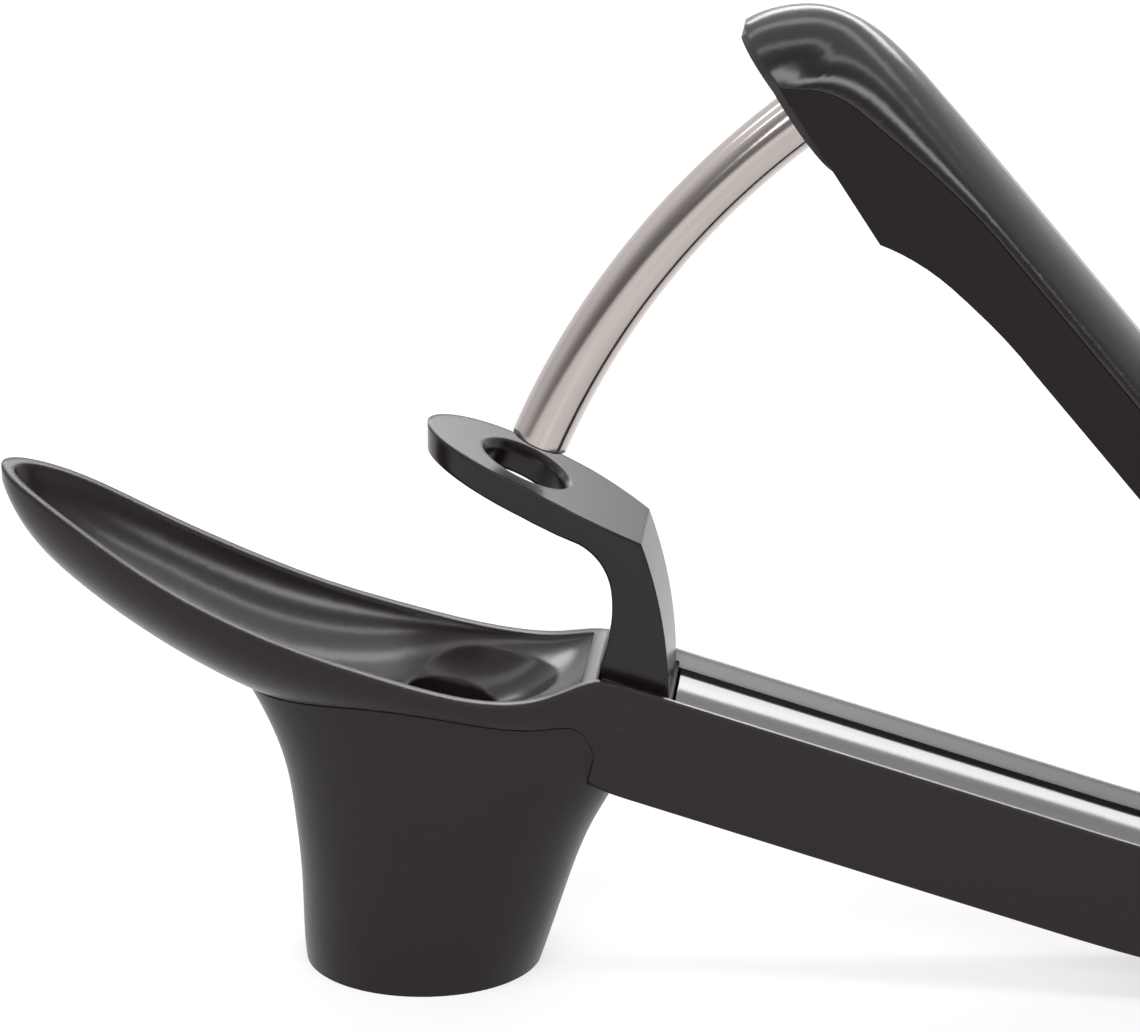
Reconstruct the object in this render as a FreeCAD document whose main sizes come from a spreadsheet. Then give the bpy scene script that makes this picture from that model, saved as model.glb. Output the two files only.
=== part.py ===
import FreeCAD, Part
import math
import os
from types import SimpleNamespace

import Sketcher
from FreeCAD import Placement, Rotation, Vector

# Cherry pitter with lever, in millimetres.
# The origin is the centre of the splash guard's foot, on the table.
# +X runs along the handle to the hinge, +Z is up, and XZ is the plane of symmetry.

SIZES = [
    # Splash guard
    ("foot_radius", 14.2, "outer radius of the guard's foot"),
    ("guard_wall", 1.6, "wall of the guard"),
    ("guard_top", 35.5, "height that the guard's sides would reach inside the dish"),
    ("guard_seam", 0.12, "gap between the guard and the dish above it"),
    ("guard_fit", 0.15, "gap between the guard and the collar inside it"),
    ("collar_wall", 1.4, "wall of the collar under the dish"),
    ("collar_foot", 22.0, "height of the collar's lower edge"),
    # Dish and cup
    ("dish_tip", -50.3, "X of the dish's tip"),
    ("dish_widest", -12.0, "X where the dish reaches its full width"),
    ("dish_half_width", 13.4, "half the width of the dish"),
    ("dish_wall", 1.5, "wall of the dish at its rim"),
    ("dish_floor", 1.8, "thickness of the dish's floor"),
    ("cup_x", 5.8, "X of the cup's centre"),
    ("cup_ball", 14.5, "radius of the ball that the cup is a part of"),
    ("cup_bottom", 31.7, "height of the cup's lowest point"),
    ("pit_hole_radius", 5.5, "radius of the hole that the pit leaves through"),
    # Handle
    ("handle_width", 18.0, "outer width of the handle"),
    ("handle_depth", 13.5, "depth of the handle, square to its slope"),
    ("handle_wall", 1.3, "side wall of the handle"),
    ("handle_floor", 1.6, "floor of the handle's channel"),
    ("handle_start", 22.0, "X where the handle leaves the dish"),
    ("handle_start_z", 31.95, "height of the handle's middle at its start"),
    ("handle_slope", 16.6, "slope of the handle's straight part, in degrees"),
    ("handle_straight", 80.0, "X where the handle starts to level out"),
    ("channel_start", 21.4, "X where the channel starts, behind the cup"),
    ("rim_flare", 0.8, "how much the channel widens on each side from the inlay up to its rims"),
    ("bar_setback", 2.4, "distance from the handle's start to the upright front of its upper part"),
    ("bow_length", 9.0, "length of the rounded front of the handle's lower part"),
    ("bow_top", 33.0, "height that the rounded front reaches up to"),
    ("ear_radius", 7.3, "radius of the ears round the pivot"),
    ("ear_gap", 13.2, "gap between the two ears"),
    ("ear_length", 13.0, "how far the ears reach in front of the pivot"),
    # Bridge
    ("bridge_corner_x", 26.3, "X of the bridge's upper corner"),
    ("bridge_corner_z", 55.1, "height of the bridge's upper corner"),
    ("bridge_nose_x", 0.6, "X of the bridge's nose"),
    ("bridge_nose_z", 67.6, "height of the bridge's nose"),
    ("bridge_plate", 3.1, "thickness of the bridge's plate"),
    ("bridge_half_width", 8.6, "half the width of the plate round the hole"),
    ("post_half_width", 6.6, "half the width of the post"),
    ("guide_hole_radius", 5.1, "radius of the hole that guides the rod"),
    ("guide_hole_x", 12.4, "X of the guide hole's centre"),
    ("guide_hole_z", 62.55, "height of the guide hole's centre"),
    ("foot_depth", 6.0, "depth of the bridge's foot below the handle's rims"),
    ("flange_thickness", 2.4, "thickness of the bridge's flange"),
    ("post_depth", 3.3, "depth of the post at the handle's rims, behind the bridge's corner"),
    ("post_step", 0.35, "how far the bridge's foot stands out behind its post"),
    ("foot_drop", 1.0, "depth of the top of the bridge's foot below the rims"),
    ("foot_fit", 0.15, "gap between the bridge's foot and the channel"),
    ("flange_end", 43.5, "X of the flange's rear end"),
    # Inlay
    ("inlay_depth", 1.8, "depth of the inlay's face below the handle's rims"),
    ("inlay_thickness", 1.2, "thickness of the inlay"),
    ("inlay_gap", 0.25, "gap between the inlay and the handle's walls"),
    ("inlay_end", 111.0, "X where the inlay ends, in front of the hinge"),
    # Lever
    ("pivot_x", 136.8, "X of the hinge"),
    ("pivot_z", 7.3, "height of the hinge"),
    ("lever_angle", 49.9, "angle of the open lever above the table, in degrees"),
    ("lever_closing", 22.0, "how far the lever closes, in degrees"),
    ("lever_width", 18.0, "width of the lever"),
    ("knuckle_width", 11.8, "width of the lever between the washers"),
    ("lever_wall", 1.4, "wall of the lever's two shells"),
    ("lever_under", 4.4, "depth of the lever below the hinge's level"),
    ("lever_seam", 2.3, "height of the seam above the hinge's level"),
    ("lever_crown", 6.4, "height of the crown above the hinge's level"),
    ("lever_length", 147.4, "length of the lever from the hinge to its nose"),
    ("nose_length", 9.9, "length of the lever's rounded nose"),
    ("cover_gap", 0.1, "gap at the seam of the lever's two shells"),
    ("tail_radius", 6.9, "radius of the tail that stops the lever"),
    ("stop_gap", 0.1, "gap between the tail and the floor that stops it"),
    ("lever_taper_start", 14.0, "distance from the hinge where the lever starts to widen"),
    ("lever_taper_end", 50.0, "distance from the hinge where the lever is full width"),
    # Rod
    ("rod_radius", 3.42, "outer radius of the rod"),
    ("rod_bore", 2.5, "radius of the rod's bore"),
    ("rod_bend", 100.0, "bend radius of the rod's centre line"),
    ("rod_tip_u", 123.65, "the tip's distance along the lever"),
    ("rod_tip_v", -56.7, "the tip's height from the hinge's level, square to the lever"),
    ("rod_top_u", 134.05, "distance along the lever of the rod's upper end"),
    ("rod_top_v", 1.2, "height of the rod's upper end above the hinge's level"),
    ("rod_fit", 0.05, "gap between the rod and its socket"),
    ("socket_wall", 1.9, "wall of the rod's socket"),
    ("plate_inset", 0.45, "how far the collar plate's edge lies inside the head's edge"),
    ("plate_thickness", 0.9, "thickness of the collar plate under the head"),
    ("rod_pin_radius", 1.0, "radius of the pin across the rod"),
    # Hinge
    ("pin_radius", 2.0, "radius of the hinge pin"),
    ("pin_fit", 0.05, "running gap round the hinge pin"),
    ("pin_head_radius", 3.4, "radius of the pin's head"),
    ("pin_head", 0.9, "thickness of the pin's head"),
    ("pin_tail", 0.7, "how far the pin runs on past its retaining ring"),
    ("bush_radius", 3.0, "outer radius of the bush"),
    ("cheek", 2.0, "thickness of each of the knuckle's cheeks"),
    ("washer_radius", 5.0, "outer radius of the washers"),
    ("washer", 0.6, "thickness of the washers"),
    ("cap_radius", 5.4, "outer radius of the hinge caps"),
    ("cap_room", 0.1, "gap between the pin's end and the cap over it"),
    ("cap_wall", 0.6, "wall of the hinge caps"),
    ("clip_radius", 3.9, "outer radius of the retaining ring"),
    ("clip", 0.7, "thickness of the retaining ring"),
    # Spring
    ("wire", 1.1, "diameter of the spring's wire"),
    ("coil_radius", 3.75, "mean radius of the spring's coil"),
    ("coil_pitch", 1.65, "pitch of the spring's coil"),
    ("leg_length", 12.0, "length of the spring's straight legs"),
    ("leg_droop", 5.2, "how far the lower leg leans down to the floor, in degrees"),
    ("coil_turns", 3.0, "whole turns of the spring's coil"),
    # Lock
    ("lock_x", 106.5, "X of the lock's thumb pad"),
    ("lock_travel", 4.0, "travel of the lock"),
    ("lock_width", 7.0, "width of the lock's tongue"),
    # Screws
    ("screw_radius", 1.0, "radius of the screws' thread"),
    ("screw_head", 1.9, "radius of the screws' heads"),
    ("screw_head_height", 0.9, "height of the screws' heads"),
    ("screw_bite", 4.4, "how far the screws reach into their bosses"),
    ("screw_fit", 0.1, "gap round the screws' heads and in the holes they pass"),
    ("boss_wall", 1.2, "wall of the screws' bosses"),
]


class Size:
    """A size that keeps its number together with the sheet expression that gives it."""

    def __init__(self, number, text):
        self.number = number
        self.text = text

    def __float__(self):
        return self.number

    def joined(self, other, sign, number):
        return Size(number, f"({self.text} {sign} {as_size(other).text})")

    def __add__(self, other):
        return self.joined(other, "+", self.number + float(other))

    def __sub__(self, other):
        return self.joined(other, "-", self.number - float(other))

    def __mul__(self, other):
        return self.joined(other, "*", self.number * float(other))

    def __truediv__(self, other):
        return self.joined(other, "/", self.number / float(other))

    def __neg__(self):
        return self * -1


def as_size(value):
    """The value itself if it is a Size, or a plain number written out as one."""
    if isinstance(value, Size):
        return value
    return Size(float(value), repr(float(value)))


doc = FreeCAD.newDocument("cherry_pitter")
sheet = doc.addObject("Spreadsheet::Sheet", "Sizes")
for row, (alias, value, meaning) in enumerate(SIZES, start=1):
    sheet.set(f"A{row}", meaning)
    sheet.set(f"B{row}", str(value))
    sheet.setAlias(f"B{row}", alias)
doc.recompute()
s = SimpleNamespace(**{alias: Size(float(sheet.get(alias)), f"Sizes.{alias}") for alias, _, _ in SIZES})

pieces = []
X_AXIS = Vector(1, 0, 0)
Y_AXIS = Vector(0, 1, 0)
Z_AXIS = Vector(0, 0, 1)


# Helpers for points, curves and bound sizes

def point(x, y, z):
    """A point from sizes or plain numbers."""
    return Vector(float(x), float(y), float(z))


def bind(item, name, value):
    """Tie one property of an object to the sheet."""
    item.setExpression(name, as_size(value).text)


def keep(item, label):
    """Name an object as one of the finished sub-parts."""
    item.Label = label
    pieces.append(item)
    return item


def feature(name, shape):
    """An object that holds a shape worked out here."""
    item = doc.addObject("Part::Feature", name)
    item.Shape = shape
    return item


def cylinder(name, radius, height, base, direction=Z_AXIS):
    item = doc.addObject("Part::Cylinder", name)
    bind(item, "Radius", radius)
    bind(item, "Height", height)
    item.Placement = Placement(base, Rotation(Z_AXIS, direction))
    return item


def box(name, length, width, height, corner, rotation=Rotation()):
    item = doc.addObject("Part::Box", name)
    bind(item, "Length", length)
    bind(item, "Width", width)
    bind(item, "Height", height)
    item.Placement = Placement(corner, rotation)
    return item


def fuse(name, *items):
    item = doc.addObject("Part::MultiFuse", name)
    item.Shapes = list(items)
    return item


def common(name, *items):
    item = doc.addObject("Part::MultiCommon", name)
    item.Shapes = list(items)
    return item


def cut(name, base, *tools):
    """The base less each tool in turn."""
    for number, tool in enumerate(tools, start=1):
        item = doc.addObject("Part::Cut", name if number == len(tools) else f"{name}_cut{number}")
        item.Base = base
        item.Tool = tool
        base = item
    return base


def polyline(points):
    """Straight edges that close through the points."""
    return [Part.makeLine(a, b) for a, b in zip(points, points[1:] + points[:1])]


def extruded(edges, reach):
    """The face inside the edges, carried along the vector."""
    return Part.Face(Part.Wire(edges)).extrude(reach)


def spline(points):
    curve = Part.BSplineCurve()
    curve.interpolate(points)
    return curve.toShape()


def interpolated(table, x):
    """The value at x on the smooth curve through a table's points."""
    curve = Part.BSplineCurve()
    curve.interpolate([Vector(a, b, 0) for a, b in table])
    low, high = curve.FirstParameter, curve.LastParameter
    for _ in range(60):
        middle = (low + high) / 2
        if curve.value(middle).x < x:
            low = middle
        else:
            high = middle
    return curve.value(low).y


# Helpers for bodies made from sketches

def sketch_on(body, name, role):
    """A sketch on one of the body's own origin planes."""
    plane = [item for item in body.Origin.OriginFeatures if item.Role == role][0]
    sketch = body.newObject("Sketcher::SketchObject", name)
    sketch.AttachmentSupport = (plane, [""])
    sketch.MapMode = "FlatFace"
    return sketch


def bind_constraint(sketch, constraint, value):
    index = sketch.addConstraint(constraint)
    sketch.setExpression(f"Constraints[{index}]", as_size(value).text)


def draw_outline(sketch, corners):
    """Straight lines that close through the corners, with each corner tied to its sizes."""
    ends = corners[1:] + corners[:1]
    lines = [
        sketch.addGeometry(Part.LineSegment(point(*a, 0), point(*b, 0)), False)
        for a, b in zip(corners, ends)
    ]
    for line, after in zip(lines, lines[1:] + lines[:1]):
        sketch.addConstraint(Sketcher.Constraint("Coincident", line, 2, after, 1))
    for line, (x, y) in zip(lines, corners):
        bind_constraint(sketch, Sketcher.Constraint("DistanceX", line, 1, float(x)), x)
        bind_constraint(sketch, Sketcher.Constraint("DistanceY", line, 1, float(y)), y)


def revolved_body(name, corners):
    """A body turned round its own Y axis from an outline of (radius, y) corners."""
    body = doc.addObject("PartDesign::Body", name)
    sketch = sketch_on(body, f"{name}_outline", "XY_Plane")
    draw_outline(sketch, corners)
    turned = body.newObject("PartDesign::Revolution", f"{name}_turned")
    turned.Profile = sketch
    turned.ReferenceAxis = (sketch, ["V_Axis"])
    turned.Angle = 360
    return body


def ring_body(name, outer, inner, width):
    """A ring round the body's own Y axis, with its middle at the origin."""
    corners = [(inner, -(width / 2)), (outer, -(width / 2)), (outer, width / 2), (inner, width / 2)]
    return revolved_body(name, corners)


# The places that several pieces share

PIVOT = point(s.pivot_x, 0, s.pivot_z)
LEVER = Placement(PIVOT, Rotation(Y_AXIS, float(s.lever_angle)))
slope = math.radians(float(s.handle_slope))
half_depth = float(s.handle_depth) / 2


def middle_z(x):
    """Height of the handle's middle: a straight slope, an arc, then level."""
    straight = float(s.handle_straight)
    if x <= straight:
        return float(s.handle_start_z) - (x - float(s.handle_start)) * math.tan(slope)
    turn = math.asin(min(max(x - straight, 0) / level_radius, math.sin(slope)))
    return half_depth + level_radius * (1 - math.cos(slope - turn_from_level(x)))


def turn_from_level(x):
    """Angle of the handle that is used up at x, counted from its slope down to level."""
    left = max(level_x - x, 0) / level_radius
    return slope - math.asin(min(left, math.sin(slope)))


straight_end_z = float(s.handle_start_z) - (float(s.handle_straight - s.handle_start)) * math.tan(slope)
level_radius = (straight_end_z - half_depth) / (1 - math.cos(slope))
level_x = float(s.handle_straight) + level_radius * math.sin(slope)


def handle_point(x, offset, y=0.0):
    """A point of the handle: x of its middle line, and the offset square to that line."""
    tilt = slope - turn_from_level(x) if x > float(s.handle_straight) else slope
    return Vector(x + offset * math.sin(tilt), y, middle_z(x) + offset * math.cos(tilt))


def handle_tilt(x):
    """The slope of the handle's middle line at x, in degrees."""
    return math.degrees(slope - turn_from_level(x) if x > float(s.handle_straight) else slope)


def handle_strip(start, end, low, high, half_width):
    """A bar that follows the handle's line from start to end, between two offsets."""
    bend = float(s.handle_straight)
    y = -half_width
    edges = []

    def side(offset, forward):
        corners = [start, bend, end] if start < bend < end else [start, end]
        if not forward:
            corners = corners[::-1]
        for a, b in zip(corners, corners[1:]):
            if min(a, b) >= bend:
                middle = handle_point((a + b) / 2, offset, y)
                curve = Part.Arc(handle_point(a, offset, y), middle, handle_point(b, offset, y))
                edges.append(curve.toShape())
            else:
                edges.append(Part.makeLine(handle_point(a, offset, y), handle_point(b, offset, y)))

    side(low, True)
    edges.append(Part.makeLine(handle_point(end, low, y), handle_point(end, high, y)))
    side(high, False)
    edges.append(Part.makeLine(handle_point(start, high, y), handle_point(start, low, y)))
    return extruded(edges, Vector(0, 2 * half_width, 0))


# Lower body: dish, cup, handle and ears

RIM = [
    (-50.3, 61.0), (-46.0, 59.0), (-41.0, 56.3), (-34.0, 52.1), (-25.0, 47.4), (-15.0, 43.2),
    (-4.3, 39.9), (5.8, 37.5), (10.5, 37.0), (16.4, 37.6), (19.5, 38.5), (21.6, 38.75),
    (24.0, 38.25), (27.0, 37.2),
]
KEEL = [
    (-50.3, 58.6), (-48.9, 55.6), (-47.0, 52.5), (-44.1, 49.4), (-40.6, 46.35), (-35.9, 43.0), (-31.2, 40.0),
    (-26.4, 37.25), (-21.7, 35.0), (-15.0, 32.3), (-8.0, 30.7), (0.0, 29.9), (8.0, 29.2),
    (15.0, 27.15), (20.0, 25.62), (24.4, 24.3), (27.0, 23.7),
]
# Behind the cup the dish draws in to the handle's width, and its round section becomes a square one.
# Each row is X, half-width and how square the section is: 2 is an ellipse.
WAIST = [
    (-12.0, 13.4, 2.0), (-4.0, 13.8, 2.0), (4.0, 14.0, 2.0), (10.0, 13.6, 2.0), (15.0, 12.4, 2.0),
    (18.6, 10.8, 2.3), (21.4, 9.4, 3.2), (24.0, 8.94, 4.2), (27.0, 8.8, 4.5),
]
TIP_STEPS = (87.0, 80.0, 72.0, 62.0, 50.0, 36.0, 18.0)
SECTION_STEPS = 8


def tip_stations(wall):
    """X and half-width of the sections towards the tip, drawn in by a wall."""
    reach = float(s.dish_widest) - float(s.dish_tip) - wall
    half = float(s.dish_half_width) - wall
    stations = []
    for step in TIP_STEPS:
        angle = math.radians(step)
        stations.append((float(s.dish_widest) - reach * math.sin(angle), half * math.cos(angle)))
    return stations


def bowl_section(x, half_width, rim, bottom, square=2.0, rise=0.0):
    """A closed section across the dish, hanging from its rim: half an ellipse, or squarer.

    With a rise, its sides run on upright above the rim.
    """
    quarter = []
    for step in range(SECTION_STEPS):
        angle = math.pi / 2 * step / SECTION_STEPS
        across = math.cos(angle) ** (2 / square)
        down = math.sin(angle) ** (2 / square)
        quarter.append((half_width * across, rim - (rim - bottom) * down))
    quarter.append((0.0, bottom))
    steps = [step / SECTION_STEPS for step in range(SECTION_STEPS + 1)]
    sides = []
    for sign in (1, -1):
        curve = Part.BSplineCurve()
        curve.interpolate(
            Points=[Vector(x, sign * y, z) for y, z in quarter],
            Parameters=steps,
            InitialTangent=Vector(0, 0, -math.pi / 2 * (rim - bottom)),
            FinalTangent=Vector(0, -sign * math.pi / 2 * half_width, 0),
        )
        sides.append(curve.toShape())
    if rise > 0:
        for y in (half_width, -half_width):
            sides.append(Part.makeLine(Vector(x, y, rim), Vector(x, y, rim + rise)))
    lid = Part.makeLine(Vector(x, -half_width, rim + rise), Vector(x, half_width, rim + rise))
    return Part.Wire(Part.__sortEdges__(sides + [lid]))


def dish_skin(grow):
    """The dish's outer form, grown by a gap all round."""
    sections = []
    stations = [(x, half_width, 2.0) for x, half_width in tip_stations(-grow)]
    stations += [(x, half_width + grow, square) for x, half_width, square in WAIST]
    for x, half_width, square in stations:
        top, bottom = interpolated(RIM, x), interpolated(KEEL, x)
        sections.append(bowl_section(x, half_width, top + grow, bottom - grow, square))
    return Part.makeLoft(sections, True, False)


def dish_hollow():
    """The hollow of the dish, from the tip to the shelf behind the cup."""
    wall, floor = float(s.dish_wall), float(s.dish_floor)
    shelf = [(-4.0, 6.0), (3.0, 3.6), (12.0, 1.9), (19.6, 0.8)]
    rise = 3.0
    sections = []
    for x, half_width in tip_stations(wall):
        top, bottom = interpolated(RIM, x), interpolated(KEEL, x)
        sections.append(bowl_section(x, half_width, top, bottom + floor, rise=rise))
    for x, depth in shelf:
        top = interpolated(RIM, x)
        width = interpolated([row[:2] for row in WAIST], x) - wall
        sections.append(bowl_section(x, width, top, top - depth, rise=rise))
    return Part.makeLoft(sections, True, False)


def slanted_axis(height):
    """Unit vector along the rod's path where it passes a height, pointing up."""
    rise = (height - float(s.pivot_z)) / path_radius
    return Vector(rise, 0, math.sqrt(1 - rise * rise))


def path_point(height):
    """The point of the rod's path at a height, on the circle round the hinge."""
    rise = (height - float(s.pivot_z)) / path_radius
    return PIVOT + Vector(-math.sqrt(1 - rise * rise), 0, rise) * path_radius


path_radius = math.hypot(float(s.pivot_x - s.guide_hole_x), float(s.guide_hole_z - s.pivot_z))

GUARD_RINGS = [
    # height, left end, right end, half-width at the middle
    (0.0, -14.5, 13.9, 14.2), (7.0, -14.9, 16.2, 13.9), (12.5, -15.15, 18.0, 13.6), (18.5, -15.8, 20.5, 13.4),
    (24.0, -16.7, 23.6, 13.2), (30.0, -18.8, 26.6, 13.0), (36.0, -22.0, 29.4, 12.9),
]


def guard_ring(z, shrink):
    """One oval section of the guard, drawn in by the shrink."""
    left = interpolated([(row[0], row[1]) for row in GUARD_RINGS], z)
    right = interpolated([(row[0], row[2]) for row in GUARD_RINGS], z)
    across = interpolated([(row[0], row[3]) for row in GUARD_RINGS], z)
    spread = float(s.foot_radius) - GUARD_RINGS[0][3]
    centre = Vector((left + right) / 2, 0, z)
    length = (right - left) / 2 + spread - shrink
    width = min(across + spread - shrink, length - 0.01)
    ellipse = Part.Ellipse(centre + Vector(length, 0, 0), centre + Vector(0, width, 0), centre)
    return Part.Wire([ellipse.toShape()])


def guard_cone(shrink, low, high):
    """The guard's form between two heights, drawn in by the shrink."""
    steps = [low + (high - low) * step / 6 for step in range(7)]
    return Part.makeLoft([guard_ring(z, shrink) for z in steps], True, False)


handle_end = float(s.pivot_x)
half_width = float(s.handle_width) / 2
bar_start = float(s.handle_start + s.bar_setback)


def upright_start(bar, x):
    """The bar less all that lies in front of an upright plane at x."""
    return bar.cut(Part.makeBox(100, 100, 100, Vector(x - 100, -50, -20)))


def handle_bar(grow):
    """The handle's outer form from an upright end in the dish to the hinge, grown by a gap."""
    bar = handle_strip(14.0, handle_end, -half_depth - grow, half_depth + grow, half_width + grow)
    return upright_start(bar, bar_start - grow)


def handle_bow(grow):
    """The handle's lower part where it runs into the dish: its front is half an ellipse in plan."""
    bar = handle_strip(14.0, bar_start + 2, -half_depth - grow, half_depth, half_width + grow)
    reach, wide = float(s.bow_length) + grow, half_width + grow
    centre = Vector(bar_start, 0, 0)
    near, far = Vector(bar_start, -wide, 0), Vector(bar_start, wide, 0)
    front = Vector(bar_start - reach, 0, 0)
    if reach > wide:
        ellipse = Part.Ellipse(front, far, centre)
        round_front = [ellipse.toShape(-math.pi / 2, 0), ellipse.toShape(0, math.pi / 2)]
    else:
        ellipse = Part.Ellipse(far, front, centre)
        round_front = [ellipse.toShape(0, math.pi / 2), ellipse.toShape(math.pi / 2, math.pi)]
    back = [near + X_AXIS, far + X_AXIS]
    straight = [Part.makeLine(near, back[0]), Part.makeLine(back[0], back[1]), Part.makeLine(back[1], far)]
    plan = Part.__sortEdges__(round_front + straight)
    return bar.common(extruded(plan, Z_AXIS * float(s.bow_top)))


hollow_half = half_width - float(s.handle_wall)
rim = half_depth + 1
dish_outer = feature("dish_outer", dish_skin(0))
handle_outer = feature("handle_outer", handle_bar(0))
ears = cylinder("ears", s.ear_radius, s.handle_width, PIVOT - Y_AXIS * half_width, Y_AXIS)

# The collar hangs below the dish inside the guard.
collar_out = float(s.guard_wall) + float(s.guard_fit)
collar_in = collar_out + float(s.collar_wall)
collar_outer = feature("collar_outer", guard_cone(collar_out, float(s.collar_foot), float(s.guard_top)))
collar_hole = guard_cone(collar_in, float(s.collar_foot) - 1, float(s.guard_top) + 1)
collar_inner = feature("collar_inner", collar_hole)
collar = cut("collar", collar_outer, collar_inner)
handle_front = feature("handle_front", handle_bow(0))
body_blank = fuse("body_blank", dish_outer, handle_outer, handle_front, ears, collar)

# Hollows: the dish, the cup, the pit hole and the handle's channel.
dish_inner = feature("dish_inner", dish_hollow())
cup = doc.addObject("Part::Sphere", "cup")
bind(cup, "Radius", s.cup_ball)
cup.Placement.Base = point(s.cup_x, 0, s.cup_bottom + s.cup_ball)
pit_middle = path_point(float(s.cup_bottom))
pit_axis = slanted_axis(float(s.cup_bottom))
pit_hole = cylinder("pit_hole", s.pit_hole_radius, 16, pit_middle - pit_axis * 8, pit_axis)

foot_top = half_depth - float(s.foot_depth)
flange_end = float(s.flange_end)
channel_floor = -half_depth + float(s.handle_floor)
seat_end = flange_end + 0.6
channel = feature("channel", handle_strip(seat_end, handle_end, channel_floor, rim, hollow_half))
seat_strip = handle_strip(14.0, seat_end + 0.1, foot_top, rim, hollow_half)
foot_seat = feature("foot_seat", upright_start(seat_strip, float(s.channel_start)))
ear_start = float(s.pivot_x - s.ear_length)


def flared_strip(start, end, low, high, low_half, high_half):
    """A bar that follows the handle's line and widens from its lower face to its upper one."""
    across = [
        handle_point(start, low, -low_half), handle_point(start, low, low_half),
        handle_point(start, high, high_half), handle_point(start, high, -high_half),
    ]
    bend = float(s.handle_straight)
    line = Part.makeLine(handle_point(start, 0), handle_point(bend, 0))
    arc = Part.Arc(handle_point(bend, 0), handle_point((bend + end) / 2, 0), handle_point(end, 0)).toShape()
    return Part.Wire([line, arc]).makePipeShell([Part.Wire(polyline(across))], True, False)


# Strips that fill the channel's front are drawn from here and then cut to their upright starts.
CHANNEL_FROM = 14.0
flare_low = half_depth - float(s.inlay_depth)
flare_half = hollow_half + float(s.rim_flare)
flare_slope = float(s.rim_flare) / float(s.inlay_depth)
flare_top_half = flare_half + flare_slope * (rim - half_depth)
flare_bar = flared_strip(CHANNEL_FROM, ear_start, flare_low, rim, hollow_half, flare_top_half)
channel_flare = feature("channel_flare", upright_start(flare_bar, float(s.channel_start)))
ear_half = float(s.ear_gap) / 2
hinge_slot = box(
    "hinge_slot", 30, s.ear_gap, 20,
    point(s.pivot_x - 2, -ear_half, s.handle_floor),
)
# Each ear runs a little into the handle's wall and floor, so that they join.
EAR_BITE = 0.1
block_half = (hollow_half - ear_half + EAR_BITE) / 2
block_middle = (hollow_half + ear_half + EAR_BITE) / 2
ear_blocks = [
    feature(
        f"ear_block_{side}",
        handle_strip(ear_start, handle_end, channel_floor - EAR_BITE, half_depth, block_half)
        .translate(Vector(0, sign * block_middle, 0)),
    )
    for side, sign in (("left", -1), ("right", 1))
]
pin_reach = half_width + 5
pin_hole = cylinder(
    "pin_hole", s.pin_radius + s.pin_fit, s.handle_width + 10, PIVOT - Y_AXIS * pin_reach, Y_AXIS
)


def across_handle(x, offset):
    """The point at an offset from the handle's middle line, and the direction square to that line."""
    tilt = math.radians(handle_tilt(x))
    return handle_point(x, offset), Vector(math.sin(tilt), 0, math.cos(tilt))


# Screws: a head with a socket for the driver, and a shank.

def screw(name, seat, direction, length):
    """One screw whose head's under side lies at the seat; the direction points out of the head."""
    head = cylinder(f"{name}_head", s.screw_head, s.screw_head_height, seat, direction)
    shank = cylinder(f"{name}_shank", s.screw_radius, length, seat - direction * float(length), direction)
    socket = doc.addObject("Part::Prism", f"{name}_socket")
    socket.Polygon = 6
    bind(socket, "Circumradius", s.screw_head * 0.5)
    bind(socket, "Height", s.screw_head_height)
    start = seat + direction * (float(s.screw_head_height) * 0.4)
    socket.Placement = Placement(start, Rotation(Z_AXIS, direction))
    return cut(name, fuse(f"{name}_blank", head, shank), socket)


def group(name, items):
    """Several like pieces as one sub-part."""
    item = doc.addObject("Part::Compound", name)
    item.Links = items
    return keep(item, name)


# Bridge screws go down through the flange into the block below it.
BRIDGE_SCREW_X = (34.5, 40.0)
bridge_screw_length = s.flange_thickness + 3.2
flange_top = foot_top + float(s.flange_thickness)
flange_seat = flange_top - float(s.screw_head_height + s.screw_fit)
bridge_screws = []
bridge_screw_holes = []
for number, x in enumerate(BRIDGE_SCREW_X, start=1):
    seat, up = across_handle(x, flange_seat)
    bridge_screws.append(screw(f"bridge_screw_{number}", seat, up, bridge_screw_length))
    base = seat - up * (float(bridge_screw_length) + 0.3)
    bridge_screw_holes.append(cylinder(f"bridge_screw_hole_{number}", s.screw_radius, 12, base, up))
group("bridge_screws", bridge_screws)

# Inlay screws go up through the handle's floor into the inlay's bosses.
INLAY_SCREW_X = (58.0, 96.0)
inlay_top = half_depth - float(s.inlay_depth)
inlay_under = inlay_top - float(s.inlay_thickness)
inlay_screw_length = s.handle_floor - s.screw_head_height + s.screw_bite
counterbore_depth = float(s.screw_head_height)
inlay_screws = []
floor_cuts = []
for number, x in enumerate(INLAY_SCREW_X, start=1):
    under, up = across_handle(x, -half_depth)
    seat = under + up * counterbore_depth
    inlay_screws.append(screw(f"inlay_screw_{number}", seat, -up, inlay_screw_length))
    floor_cuts.append(cylinder(f"floor_bore_{number}", s.screw_head + s.screw_fit, 3, seat - up * 3, up))
    floor_cuts.append(cylinder(f"floor_hole_{number}", s.screw_radius + s.screw_fit, 6, seat - up * 1, up))
group("inlay_screws", inlay_screws)

hollowed = cut("hollowed_body", body_blank, dish_inner, cup, pit_hole, channel, foot_seat, channel_flare)
with_ears = fuse("body_with_ears", hollowed, *ear_blocks)
lower_body = keep(
    cut("lower_body", with_ears, hinge_slot, pin_hole, *bridge_screw_holes, *floor_cuts), "lower_body"
)

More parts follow.
